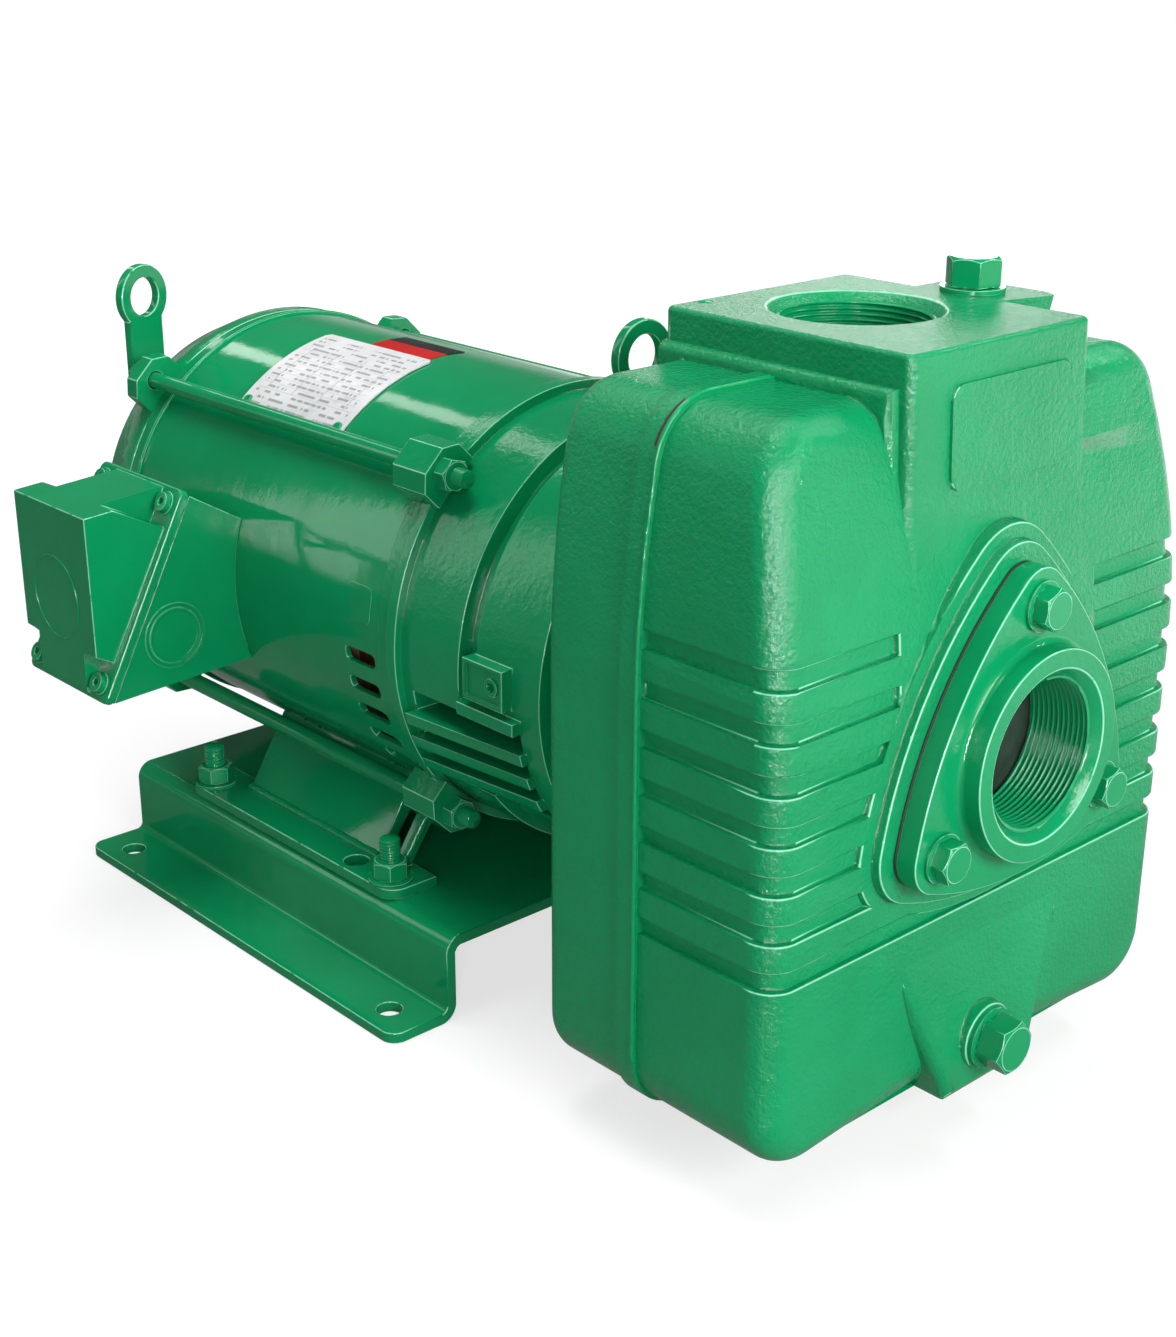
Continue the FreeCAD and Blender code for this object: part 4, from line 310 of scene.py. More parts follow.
def plain_label():
    """Glossy sticker in two plain colours."""
    material, tree, shader = start_material("plain_label", Specular_IOR_Level=0.08)
    surface = use_group(tree, PAINT, Peel=0.05, Wave=0.05, Gloss_Low=0.35, Gloss_High=0.5)
    red = mix_colours(tree, surface["Tone"], RED_LOW, RED_HIGH)
    half = ramp(tree, parts_of(tree, texture_place(tree, "UV"))[1], 0.5, 0.51)
    feed_shader(tree, shader, mix_colours(tree, half, red, LABEL_BLACK), surface)
    return material


# An edge amount near 1 makes the pale edges an almost unbroken painted highlight
CAST_GREEN = green_paint("cast_green_paint", wear_and_highlight=0.88, Peel=0.3, Skin=1.1, Skin_Scale=460.0, Pits=0.15,
                         Wave=0.45, Gloss_Low=0.06, Gloss_High=0.13)
SMOOTH_CAST_GREEN = green_paint("smooth_cast_green_paint", wear_and_highlight=0.7, Peel=0.2, Skin=0.3, Wave=0.25,
                                Gloss_Low=0.06, Gloss_High=0.14)
SHEET_GREEN = green_paint("sheet_green_paint", Peel=0.1, Wave=0.1, Gloss_Low=0.05, Gloss_High=0.12)
FASTENER_GREEN = green_paint("fastener_green_paint", wear_and_highlight=0.7, Peel=0.12, Skin=0.05, Wave=0.05)
WELD_GREEN = green_paint("weld_green_paint", wear_and_highlight=0.5, Peel=0.3, Skin=0.3, Wave=0.5, Wave_Scale=240.0)
STEEL = bare("machined_steel", (0.42, 0.42, 0.43), (0.62, 0.62, 0.63))
CORE = bare("stacked_core_steel", (0.12, 0.12, 0.13), (0.26, 0.26, 0.27), Line_Scale=2500.0, Lines=0.6,
            Rough_Low=0.4, Rough_High=0.7)
COPPER = bare("varnished_copper", (0.32, 0.10, 0.04), (0.52, 0.19, 0.08), Line_Scale=700.0, Lines=0.8)
ALUMINIUM = bare("die_cast_aluminium", (0.52, 0.53, 0.54), (0.7, 0.71, 0.72), Rough_Low=0.35, Rough_High=0.6)
IRON = bare("bare_cast_iron", (0.10, 0.10, 0.10), (0.2, 0.19, 0.18), Rough_Low=0.45, Rough_High=0.75)
CERAMIC = bare("lapped_ceramic", (0.72, 0.7, 0.64), (0.82, 0.8, 0.75), metallic=0.0, Rough_Low=0.15,
               Rough_High=0.3)
RUST = bare("open_joint_rust", (0.02, 0.004, 0.003), (0.06, 0.012, 0.006), metallic=0.0, Rough_Low=0.6,
            Rough_High=0.85)
RUBBER = bare("painted_over_rubber", (0.003, 0.014, 0.007), (0.006, 0.032, 0.015), metallic=0.0,
              Rough_Low=0.5, Rough_High=0.75)
PLATE = printed_plate()
LABEL = plain_label()
FINISHES = {"cast_paint": CAST_GREEN, "sheet_paint": SHEET_GREEN, "fastener_paint": FASTENER_GREEN,
            "bright_steel": STEEL, "core_steel": CORE, "copper": COPPER, "cast_aluminium": ALUMINIUM,
            "bare_iron": IRON, "plate_aluminium": PLATE, "ceramic": CERAMIC, "rubber": RUBBER}
for name, item in NODES.items():
    item.data.materials.clear()
    item.data.materials.append(FINISHES[SLOT_OF[name]])


# Making and finishing pieces

ROUND_OVER, CREASE_OVER, FLAT_WITHIN = 28.0, 50.0, 0.4
SMALL_TRIANGLE, WIDE_FLAT = 5e-7, 2e-5
ROUNDING_TRIES, CROWDED_REACH, MOST_STRAY, TURNED_OVER = 6, 1.6, 0.8, -0.05


def add_object(name, data):
    item = bpy.data.objects.new(name, data)
    bpy.context.scene.collection.objects.link(item)
    return item


def mesh_of(name, form, material=None):
    mesh = bpy.data.meshes.new(name)
    form.to_mesh(mesh)
    form.free()
    if material:
        mesh.materials.append(material)
    return mesh


def finished(name, mesh, body, replaces=()):
    """Put a finished mesh in the scene, on its body."""
    item = add_object(name, mesh)
    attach(item, body)
    if replaces:
        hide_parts(*replaces)


def bake(mesh, kind, settings):
    """Plain mesh with one modifier applied."""
    item = add_object("form", mesh)
    modifier = item.modifiers.new(kind.lower(), kind)
    for key, value in settings.items():
        if key.startswith("Socket_"):
            modifier[key] = value
        else:
            setattr(modifier, key, value)
    bpy.context.view_layer.update()
    evaluated = item.evaluated_get(bpy.context.evaluated_depsgraph_get())
    result = bpy.data.meshes.new_from_object(evaluated)
    bpy.data.objects.remove(item)
    return result


def read(items, label, width=1, kind=numpy.float64):
    """One property of a mesh's items as an array, in rows where it has more than one value."""
    values = numpy.empty(len(items) * width, dtype=kind)
    items.foreach_get(label, values)
    return values.reshape(-1, width) if width > 1 else values


def mark_edges(mesh):
    """Edge attribute: 1 along rounded outer edges, -1 along inner ones, 0 on the faces between."""
    rim = read(mesh.polygons, "material_index", kind=numpy.int32)
    sides = read(mesh.polygons, "loop_total", kind=numpy.int32)
    corners = read(mesh.loops, "vertex_index", kind=numpy.int32)
    plain = numpy.zeros(len(mesh.vertices), dtype=bool)
    plain[corners[numpy.repeat(rim, sides) == 0]] = True
    places = read(mesh.vertices, "co", 3)
    normals = read(mesh.vertex_normals, "vector", 3)
    ends = read(mesh.edges, "vertices", 2, numpy.int32)
    pull = numpy.zeros_like(places)
    step = places[ends[:, 1]] - places[ends[:, 0]]
    numpy.add.at(pull, ends[:, 0], step)
    numpy.add.at(pull, ends[:, 1], -step)
    side = numpy.where((pull * normals).sum(axis=1) < 0, 1.0, -1.0)
    layer = mesh.attributes.new("edge", "FLOAT", "POINT")
    layer.data.foreach_set("value", numpy.where(plain, 0.0, side).astype(numpy.float32))
    mesh.polygons.foreach_set("material_index", numpy.zeros_like(rim))


def crowded_corners(mesh, before, width):
    """Corners of the larger triangles that a rounding has turned over or thrown off the surface."""
    mesh.calc_loop_triangles()
    corners = set()
    for triangle in mesh.loop_triangles:
        if triangle.area < SMALL_TRIANGLE:
            continue
        places = [mesh.vertices[index].co for index in triangle.vertices]
        _, normal, _, gap = before.find_nearest((places[0] + places[1] + places[2]) / 3)
        if gap > width or normal.dot(triangle.normal) < TURNED_OVER:
            corners.update(triangle.vertices)
    return [mesh.vertices[index].co.copy() for index in corners]


def creased(mesh, sharp):
    """Smooth shading, with folds at steep edges, and at the given-up ones over the sharp angle."""
    mesh.shade_smooth()
    mesh.set_sharp_from_angle(angle=math.radians(sharp))
    folds = read(mesh.edges, "use_edge_sharp", kind=bool)
    mesh.set_sharp_from_angle(angle=math.radians(CREASE_OVER))
    steep = read(mesh.edges, "use_edge_sharp", kind=bool)
    given_up = read(mesh.attributes["given_up"].data, "value") > 0.5
    mesh.edges.foreach_set("use_edge_sharp", steep | (folds & given_up))


def flat_shaded(mesh):
    """The mesh with every wide flat of more than four corners shaded as one plane."""
    sides = read(mesh.polygons, "loop_total", kind=numpy.int32)
    facing = read(mesh.polygons, "normal", 3)
    corners = read(mesh.corner_normals, "vector", 3)
    wide = numpy.repeat((read(mesh.polygons, "area") > WIDE_FLAT) & (sides > 4), sides)
    corners[wide] = numpy.repeat(facing, sides, axis=0)[wide]
    mesh.normals_split_custom_set(corners)
    return mesh


def rounded(mesh, width, sharp=ROUND_OVER):
    """Mesh with its sharp edges rounded and marked. Where there is no room they stay sharp."""
    mesh.materials.append(mesh.materials[0])
    form = bmesh.new()
    form.from_mesh(mesh)
    form.verts.ensure_lookup_table()
    before = BVHTree.FromBMesh(form)
    wanted = numpy.array([len(edge.link_faces) == 2 and edge.calc_face_angle() > math.radians(sharp)
                          for edge in form.edges], dtype=numpy.float32)
    turned = wanted.copy()
    tips = KDTree(len(form.verts))
    for vertex in form.verts:
        tips.insert(vertex.co, vertex.index)
    tips.balance()
    for label in ("bevel_weight_edge", "given_up"):
        mesh.attributes.new(label, "FLOAT", "EDGE")
    for _ in range(ROUNDING_TRIES):
        mesh.attributes["bevel_weight_edge"].data.foreach_set("value", turned)
        mesh.attributes["given_up"].data.foreach_set("value", wanted - turned)
        trial = bake(mesh, "BEVEL", {"width": width, "segments": 2, "limit_method": "WEIGHT",
                                     "use_clamp_overlap": False, "material": 1})
        crowded = crowded_corners(trial, before, width)
        if not crowded:
            break
        for place in crowded:
            for _, index, _ in tips.find_range(place, width * CROWDED_REACH):
                turned[[edge.index for edge in form.verts[index].link_edges]] = 0.0
    form.free()
    for vertex in trial.vertices:
        spot, _, _, strayed = before.find_nearest(vertex.co)
        if strayed > width * MOST_STRAY:
            vertex.co = spot
    mark_edges(trial)
    trial.materials.pop(index=1)
    creased(trial, sharp)
    return flat_shaded(bake(trial, "WEIGHTED_NORMAL", {"keep_sharp": True, "weight": 50}))


def merged(mesh):
    """The mesh with loose triangles joined and flat areas cleared."""
    form = bmesh.new()
    form.from_mesh(mesh)
    bmesh.ops.remove_doubles(form, verts=form.verts, dist=1e-6)
    bmesh.ops.dissolve_limit(form, angle_limit=math.radians(FLAT_WITHIN), verts=form.verts, edges=form.edges)
    return mesh_of(mesh.name + "_merged", form, mesh.materials[0])


def softened(node, width, material=None):
    """The node's own form with its edges rounded, as a piece that stands for it."""
    mesh = merged(NODES[node].data)
    if material:
        mesh.materials[0] = material
    finished(node + "_finished", rounded(mesh, width), BODY_OF[node], [node])


def together(name, meshes):
    """One mesh of several, keeping their edge marks."""
    form = bmesh.new()
    for mesh in meshes:
        form.from_mesh(mesh)
    joined = mesh_of(name, form, meshes[0].materials[0])
    joined.shade_smooth()
    joined.set_sharp_from_angle(angle=math.radians(CREASE_OVER))
    return joined


# Trees for repeated pieces, which stand on the spots of the mesh they are given, and for beads along its edges

BAR_LEVELS = (0.17, 0.5, 0.83)


def new_tree(name, sizes):
    tree = bpy.data.node_groups.new(name, "GeometryNodeTree")
    tree.interface.new_socket("Geometry", in_out="INPUT", socket_type="NodeSocketGeometry")
    for label, value in sizes.items():
        kind = "NodeSocketInt" if isinstance(value, int) else "NodeSocketFloat"
        tree.interface.new_socket(label, in_out="INPUT", socket_type=kind).default_value = value
    tree.interface.new_socket("Material", in_out="INPUT", socket_type="NodeSocketMaterial")
    tree.interface.new_socket("Geometry", in_out="OUTPUT", socket_type="NodeSocketGeometry")
    return tree, tree.nodes.new("NodeGroupInput").outputs


def end_tree(tree, given, geometry):
    """Realize what the tree made and give it its material."""
    plain = add_node(tree, "GeometryNodeRealizeInstances", {"Geometry": geometry}).outputs[0]
    painted = add_node(tree, "GeometryNodeSetMaterial", {"Geometry": plain, "Material": given["Material"]})
    tree.links.new(painted.outputs[0], tree.nodes.new("NodeGroupOutput").inputs[0])
    return tree


def stand_on_spots(tree, given, shape):
    turn = add_node(tree, "GeometryNodeInputNamedAttribute", {"Name": "turn"}, data_type="FLOAT").outputs[0]
    rotation = add_node(tree, "FunctionNodeEulerToRotation", {0: point(tree, z=turn)}).outputs[0]
    spread = add_node(tree, "GeometryNodeInstanceOnPoints", {"Points": given["Geometry"], "Instance": shape,
                                                             "Rotation": rotation})
    return end_tree(tree, given, spread.outputs[0])


def round_bar(tree, around, levels):
    """Bar with each point's direction round its axis, and its share of the height from 0 to 1."""
    bar = add_node(tree, "GeometryNodeMeshCylinder", {"Vertices": around, "Side Segments": levels,
                                                      "Radius": 1.0, "Depth": 1.0}, fill_type="NGON")
    place = parts_of(tree, add_node(tree, "GeometryNodeInputPosition").outputs[0])
    angle = arithmetic(tree, "ARCTAN2", place["Y"], place["X"])
    return bar.outputs["Mesh"], angle, plus(tree, place["Z"], 0.5)


def reshape(tree, bar, angle, radius, height):
    """Move each point of the bar to a radius and a height, in its own direction."""
    spot = point(tree, times(tree, radius, arithmetic(tree, "COSINE", angle)),
                 times(tree, radius, arithmetic(tree, "SINE", angle)), height)
    return add_node(tree, "GeometryNodeSetPosition", {"Geometry": bar, "Position": spot}).outputs[0]


def make_hex_tree():
    """Hexagons with the crown turned off to a cone, as on bolt heads; with Under 1 the foot too, as on nuts."""
    tree, given = new_tree("hexagons", {"Flats": 0.0143, "Height": 0.0065, "Under": 0.0, "Crown": 0.94})
    bar, angle, share = round_bar(tree, 36, 3)
    lean = minus(tree, arithmetic(tree, "FLOORED_MODULO", angle, math.pi / 3), math.pi / 6)
    half = times(tree, given["Flats"], 0.5)
    wall = arithmetic(tree, "DIVIDE", half, arithmetic(tree, "COSINE", lean))
    over = minus(tree, wall, times(tree, half, given["Crown"]))
    drop = times(tree, over, 0.55)
    low, middle, top = [above(tree, share, level) for level in BAR_LEVELS]
    foot = times(tree, minus(tree, 1.0, low), given["Under"])
    radius = minus(tree, wall, times(tree, over, arithmetic(tree, "MAXIMUM", top, foot)))
    upper = minus(tree, middle, top)
    lower = times(tree, minus(tree, low, middle), given["Under"])
    height = plus(tree, times(tree, given["Height"], middle), times(tree, drop, minus(tree, lower, upper)))
    return stand_on_spots(tree, given, reshape(tree, bar, angle, radius, height))


def make_disc_tree():
    """Round discs with a domed crown, as washers, bolt shanks and rivets."""
    tree, given = new_tree("discs", {"Radius": 0.01, "Height": 0.0015, "Dome": 0.0, "Crown": 1.0})
    bar, angle, share = round_bar(tree, 40, 3)
    low, middle, top = [above(tree, share, level) for level in BAR_LEVELS]
    inset = times(tree, minus(tree, 1.0, given["Crown"]), given["Radius"])
    taper = plus(tree, times(tree, middle, 0.3), times(tree, top, 0.7))
    radius = minus(tree, given["Radius"], times(tree, inset, taper))
    shoulder = minus(tree, given["Height"], given["Dome"])
    rise = plus(tree, times(tree, middle, 0.7), times(tree, top, 0.3))
    height = plus(tree, times(tree, shoulder, low), times(tree, given["Dome"], rise))
    return stand_on_spots(tree, given, reshape(tree, bar, angle, radius, height))


def make_screw_tree():
    """Threaded rods with chamfered ends."""
    tree, given = new_tree("threaded_rods", {"Radius": 0.00476, "Depth": 0.0006, "Pitch": 0.0016,
                                             "Length": 0.01, "Rows": 50})
    bar, angle, share = round_bar(tree, 28, given["Rows"])
    height = times(tree, share, given["Length"])
    turns = minus(tree, arithmetic(tree, "DIVIDE", height, given["Pitch"]),
                  arithmetic(tree, "DIVIDE", angle, 2 * math.pi))
    ridge = times(tree, arithmetic(tree, "PINGPONG", turns, 0.5), 2.0)
    root = minus(tree, given["Radius"], given["Depth"])
    wall = plus(tree, root, times(tree, ridge, given["Depth"]))
    to_end = arithmetic(tree, "MINIMUM", height, minus(tree, given["Length"], height))
    radius = arithmetic(tree, "MINIMUM", wall, plus(tree, root, to_end))
    return stand_on_spots(tree, given, reshape(tree, bar, angle, radius, height))


def make_bead_tree():
    """Lumpy bead along the edges of the mesh it is given, as a weld or a run of paint."""
    tree, given = new_tree("beads", {"Radius": 0.003, "Step": 0.0015, "Lumps": 300.0, "Rough": 0.001,
                                     "Seed": 1})
    line = add_node(tree, "GeometryNodeMeshToCurve", {0: given["Geometry"]}).outputs[0]
    even = add_node(tree, "GeometryNodeResampleCurve", {"Curve": line, "Length": given["Step"]},
                    mode="LENGTH").outputs[0]
    ring = add_node(tree, "GeometryNodeCurvePrimitiveCircle", {"Resolution": 9, "Radius": given["Radius"]})
    tube = add_node(tree, "GeometryNodeCurveToMesh", {"Curve": even, "Profile Curve": ring.outputs[0],
                                                      "Fill Caps": True}).outputs[0]
    place = add_node(tree, "GeometryNodeInputPosition").outputs[0]
    lumps = shader_node(tree, "TexNoise", {"Vector": place, "W": given["Seed"], "Scale": given["Lumps"],
                                           "Detail": 2.0}, noise_dimensions="4D").outputs[0]
    push = times(tree, minus(tree, lumps, 0.5), 2.0, given["Rough"])
    normal = add_node(tree, "GeometryNodeInputNormal").outputs[0]
    offset = shader_node(tree, "VectorMath", {0: normal, "Scale": push}, operation="SCALE").outputs[0]
    moved = add_node(tree, "GeometryNodeSetPosition", {"Geometry": tube, "Offset": offset}).outputs[0]
    return end_tree(tree, given, moved)


HEXAGONS = make_hex_tree()
DISCS = make_disc_tree()
SCREWS = make_screw_tree()
BEADS = make_bead_tree()
UPWARD = Matrix.Identity(4)
FORWARD = Matrix(((0, 0, 1, 0), (1, 0, 0, 0), (0, 1, 0, 0), (0, 0, 0, 1)))
REARWARD = Matrix(((0, 0, -1, 0), (-1, 0, 0, 0), (0, 1, 0, 0), (0, 0, 0, 1)))


def grow(tree, mesh, material, sizes):
    """Mesh that a tree makes from the given one, its sizes set by name."""
    inputs = {socket.name: socket.identifier for socket in tree.interface.items_tree
              if socket.item_type == "SOCKET" and socket.in_out == "INPUT"}
    settings = {"node_group": tree, inputs["Material"]: material}
    settings.update({inputs[label]: value for label, value in sizes.items()})
    made = bake(mesh, "NODES", settings)
    made.materials.clear()
    made.materials.append(material)
    return made


def on_spots(tree, places, standing, turns=None, **sizes):
    """Fastener pieces of one tree on places in the frame, standing along the given direction."""
    inverse = standing.inverted()
    mesh = bpy.data.meshes.new("spots")
    mesh.from_pydata([inverse @ Vector(place) for place in places], [], [])
    layer = mesh.attributes.new("turn", "FLOAT", "POINT")
    layer.data.foreach_set("value", [math.radians(turn) for turn in turns or [0.0] * len(places)])
    result = grow(tree, mesh, FASTENER_GREEN, sizes)
    result.transform(standing)
    return result


def ring_of(count, circle, x, first, z=AXIS_Z):
    """Places on a circle about a line along X; the first angle counts from +Y towards +Z."""
    angles = [math.radians(first + 360.0 * index / count) for index in range(count)]
    return [(x, circle * math.cos(angle), z + circle * math.sin(angle)) for angle in angles]


# Castings and sheet pieces, with the edges that paint and casting leave soft

# The casing's outline, the rounds of its front, and how far from the column and the skin the front is drawn in
CASING_FRONT, CASING_HALF, CASING_LOW, CASING_HIGH = 0.317, 0.118, 0.021, 0.292
SHOULDER, SWELL = 0.188, 0.440
LEAN_START, LEAN_RADIUS = 0.168, 0.390
TOP_ROUND, CAST_ROUND, TIGHT_ROUND, EASE = 0.024, 0.020, 0.012, 0.012
COLUMN_SIDE, PILLOW_SIDE = 0.048, 0.072
SKIN_DEPTH, INNER_DEPTH = 0.004, 0.007
FRONT_REACH, HALF_WAY_UP = 0.060, 0.15


def easing(value, low, high):
    share = numpy.clip((value - low) / (high - low), 0.0, 1.0)
    return share * share * (3.0 - 2.0 * share)


def drawn_in(value, left, into, length, bend):
    """Depth under the skin once the round is tight: on its bend, on the flat that eases into it, or beyond."""
    stretch = (EASE + CAST_ROUND - TIGHT_ROUND) / EASE
    eased = numpy.where((into <= 0) & (into > -EASE), TIGHT_ROUND - into * stretch, value)
    return numpy.where(bend, TIGHT_ROUND - left * into / length, eased)


def tightened_front(mesh):
    """Draw in the round between the casing's front and its sides and top, as the painted casting shows it."""
    x, y, z = read(mesh.vertices, "co", 3).T
    bow = numpy.sqrt(SWELL ** 2 - numpy.maximum(z - SHOULDER, 0.0) ** 2) - SWELL
    lean = numpy.sqrt(LEAN_RADIUS ** 2 - numpy.maximum(z - LEAN_START, 0.0) ** 2) - LEAN_RADIUS
    side = CASING_HALF + bow - abs(y)
    end = numpy.minimum(CASING_HIGH - z, z - CASING_LOW)
    across, along = numpy.maximum(TOP_ROUND - side, 0.0), numpy.maximum(TOP_ROUND - end, 0.0)
    reach = numpy.hypot(across, along)
    corner = (across > 0) & (along > 0)
    rim = numpy.where(corner, TOP_ROUND - reach, numpy.minimum(side, end))
    front = CASING_FRONT + lean - x
    deep, wide = CAST_ROUND - front, CAST_ROUND - rim
    bend = (deep > 0) & (wide > 0)
    length = numpy.maximum(numpy.hypot(deep, wide), 1e-6)
    inset = numpy.where(bend, CAST_ROUND - length, numpy.minimum(front, rim))
    left = TIGHT_ROUND - inset
    new_front = drawn_in(front, left, deep, length, bend)
    new_rim = drawn_in(rim, left, wide, length, bend)
    outer = easing(abs(y), COLUMN_SIDE, PILLOW_SIDE) * (1.0 - easing(inset, SKIN_DEPTH, INNER_DEPTH))
    held = outer * (x > CASING_FRONT - FRONT_REACH)
    push = (rim - new_rim) * held
    upright = numpy.where(z > HALF_WAY_UP, 1.0, -1.0)
    lengthwise = numpy.where(corner, across / numpy.maximum(reach, 1e-6), side < end)
    endwise = numpy.where(corner, along / numpy.maximum(reach, 1e-6), side >= end)
    moved = numpy.stack([x + (front - new_front) * held, y + push * lengthwise * numpy.sign(y),
                         z + push * endwise * upright], axis=1)
    mesh.vertices.foreach_set("co", moved.ravel())
    mesh.update()
    return mesh


finished("pump_casing_finished", rounded(tightened_front(merged(NODES["pump_casing"].data)), 1.0 * MM),
         "root", ["pump_casing"])
# Widths of the rounded edges, in millimetres
SMOOTH_CASTINGS = {"suction_flange": 0.9, "pump_adapter": 0.8, "rear_end_bell": 0.8, "front_bracket": 0.6}
OTHER_PIECES = {"base_channel": 0.7, "motor_foot_near": 0.7, "motor_foot_far": 0.7, "motor_shell": 0.6,
                "conduit_box": 0.6, "conduit_cover": 0.7, "rear_lifting_eye": 1.0, "front_lifting_eye": 1.0,
                "bracket_plug": 0.35, "suction_flap": 0.5, "flap_weight": 0.4, "impeller": 0.6,
                "pump_shaft": 0.5, "cooling_fan": 0.4, "stator_core": 0.4, "stator_windings": 3.0,
                "rotor_core": 0.4, "rotor_end_rings": 1.0, "seal_seat": 0.3, "seal_head": 0.3,
                "seal_bellows": 0.4, "impeller_washer": 0.4, "flap_pin": 0.2, "suction_gasket": 0.2,
                "casing_gasket": 0.2, "conduit_gasket": 0.2, "rear_bearing_outer_race": 0.4,
                "rear_bearing_inner_race": 0.4, "front_bearing_outer_race": 0.4,
                "front_bearing_inner_race": 0.4}
for node, width in SMOOTH_CASTINGS.items():
    softened(node, width * MM, SMOOTH_CAST_GREEN)
for node, width in OTHER_PIECES.items():
    softened(node, width * MM)


# Screws, nuts and washers, with their sizes in millimetres

def heads(places, standing, turns, flats, height, under=0.0, crown=0.94):
    return on_spots(HEXAGONS, places, standing, turns, Flats=flats * MM, Height=height * MM, Under=under,
                    Crown=crown)


def rods(places, standing, radius, length, pitch, depth):
    return on_spots(SCREWS, places, standing, Radius=radius * MM, Length=length * MM, Pitch=pitch * MM,
                    Depth=depth * MM, Rows=max(8, int(8 * length / pitch)))


def discs(places, standing, radius, height, dome=0.0, crown=1.0):
    return on_spots(DISCS, places, standing, Radius=radius * MM, Height=height * MM, Dome=dome * MM,
                    Crown=crown)


def fastener_set(name, node, solid, threaded=()):
    """Painted heads and threaded rods that stand for a node."""
    meshes = [rounded(mesh, 0.35 * MM) for mesh in solid] + list(threaded)
    finished(name, together(name, meshes), BODY_OF[node], [node])


STUDS_MIDDLE, STUDS_ALONG, STUDS_ACROSS = 2.0, 69.85, 95.25
STUD_SPOTS = [(STUDS_MIDDLE + end * STUDS_ALONG, side * STUDS_ACROSS) for end in (-1, 1) for side in (-1, 1)]


def foot_level(z):
    return [(x * MM, y * MM, z * MM) for x, y in STUD_SPOTS]


fastener_set("foot_stud_set", "foot_studs", [],
             [rods(foot_level(35.0), UPWARD, radius=4.76, length=29.9, pitch=1.6, depth=0.55)])
fastener_set("foot_nut_set", "foot_nuts",
             [heads(foot_level(46.6), UPWARD, [12.0, 40.0, 22.0, 5.0], flats=14.3, height=8.3, under=1.0)])
fastener_set("foot_washer_set", "foot_washers", [discs(foot_level(45.0), UPWARD, radius=10.0, height=1.6)])


def lug_spots(x):
    return ring_of(4, 0.1065, x, 45.0)


fastener_set("through_bolt_set", "through_bolts",
             [heads(lug_spots(-0.140), REARWARD, [10.0, 25.0, 50.0, 0.0], flats=12.7, height=5.5),
              discs(lug_spots(-0.140), FORWARD, radius=4.0, height=238.5)],
             [rods(lug_spots(0.0985), FORWARD, radius=4.0, length=7.5, pitch=1.27, depth=0.45)])
fastener_set("through_nut_set", "through_bolt_nuts",
             [heads(lug_spots(0.092), FORWARD, [20.0, 45.0, 32.0, 8.0], flats=12.7, height=7.0, under=1.0)])

ADAPTER_SPOTS = ring_of(6, 0.086, 0.1835, 90.0)
fastener_set("adapter_bolt_set", "adapter_bolts",
             [heads(ADAPTER_SPOTS, REARWARD, [0.0, 20.0, 40.0, 10.0, 30.0, 50.0], flats=11.1, height=5.0)],
             [rods(ADAPTER_SPOTS, FORWARD, radius=3.2, length=23.5, pitch=1.27, depth=0.4)])

PORT_Z = 0.162


def flange_spots(x):
    return ring_of(3, 0.055, x, 90.0, PORT_Z)


fastener_set("flange_bolt_set", "flange_bolts",
             [heads(flange_spots(0.3325), FORWARD, [24.0, 0.0, 16.0], flats=14.3, height=6.5)],
             [rods(flange_spots(0.3085), FORWARD, radius=4.76, length=24.5, pitch=1.6, depth=0.5)])
fastener_set("flange_washer_set", "flange_washers",
             [discs(flange_spots(0.331), FORWARD, radius=9.5, height=1.5)])

FILL_SPOT, DRAIN_SPOT = (0.248, 0.058), (-0.004, 0.043)
PLUG_HEAD = {"flats": 19.0, "height": 11.0, "crown": 0.92}
PLUG_THREAD = {"radius": 8.0, "length": 22.4, "pitch": 1.81, "depth": 0.8}
PLUG_WASHER = {"radius": 12.5, "height": 2.0}
fastener_set("priming_plug_set", "priming_plug", [heads([(*FILL_SPOT, 0.3113)], UPWARD, [20.0], **PLUG_HEAD)],
             [rods([(*FILL_SPOT, 0.289)], UPWARD, **PLUG_THREAD)])
fastener_set("priming_washer_set", "priming_washer", [discs([(*FILL_SPOT, 0.309)], UPWARD, **PLUG_WASHER)])
fastener_set("drain_plug_set", "drain_plug", [heads([(0.3288, *DRAIN_SPOT)], FORWARD, [8.0], **PLUG_HEAD)],
             [rods([(0.3065, *DRAIN_SPOT)], FORWARD, **PLUG_THREAD)])
fastener_set("drain_washer_set", "drain_washer", [discs([(0.3265, *DRAIN_SPOT)], FORWARD, **PLUG_WASHER)])
fastener_set("impeller_bolt_set", "impeller_bolt",
             [heads([(0.230, 0.0, AXIS_Z)], FORWARD, [10.0], flats=16.0, height=6.0)])


# Round pieces

def circle_row(form, radius, height, around):
    """Points round Z at one height. The radius is a length, or a function of the angle."""
    row = []
    for index in range(around):
        angle = 2 * math.pi * index / around
        reach = radius(angle) if callable(radius) else radius
        row.append(form.verts.new((reach * math.cos(angle), reach * math.sin(angle), height)))
    return row


def join_rows(form, rows):
    """Faces between rows of points that each go once round. A row at a pole repeats one point."""
    for low, high in zip(rows, rows[1:]):
        for index, here in enumerate(low):
            after = (index + 1) % len(low)
            form.faces.new(list(dict.fromkeys((here, low[after], high[after], high[index]))))


def turned_form(profile, around, standing):
    """Form turned about Z from a profile of (radius, height) in millimetres, then stood in its place."""
    form = bmesh.new()
    rows = []
    for radius, height in profile:
        if radius:
            rows.append(circle_row(form, radius * MM, height * MM, around))
        else:
            rows.append([form.verts.new((0.0, 0.0, height * MM))] * around)
    if profile[0][0]:
        rows.append(rows[0])
    join_rows(form, rows)
    bmesh.ops.recalc_face_normals(form, faces=form.faces)
    form.transform(standing)
    return form


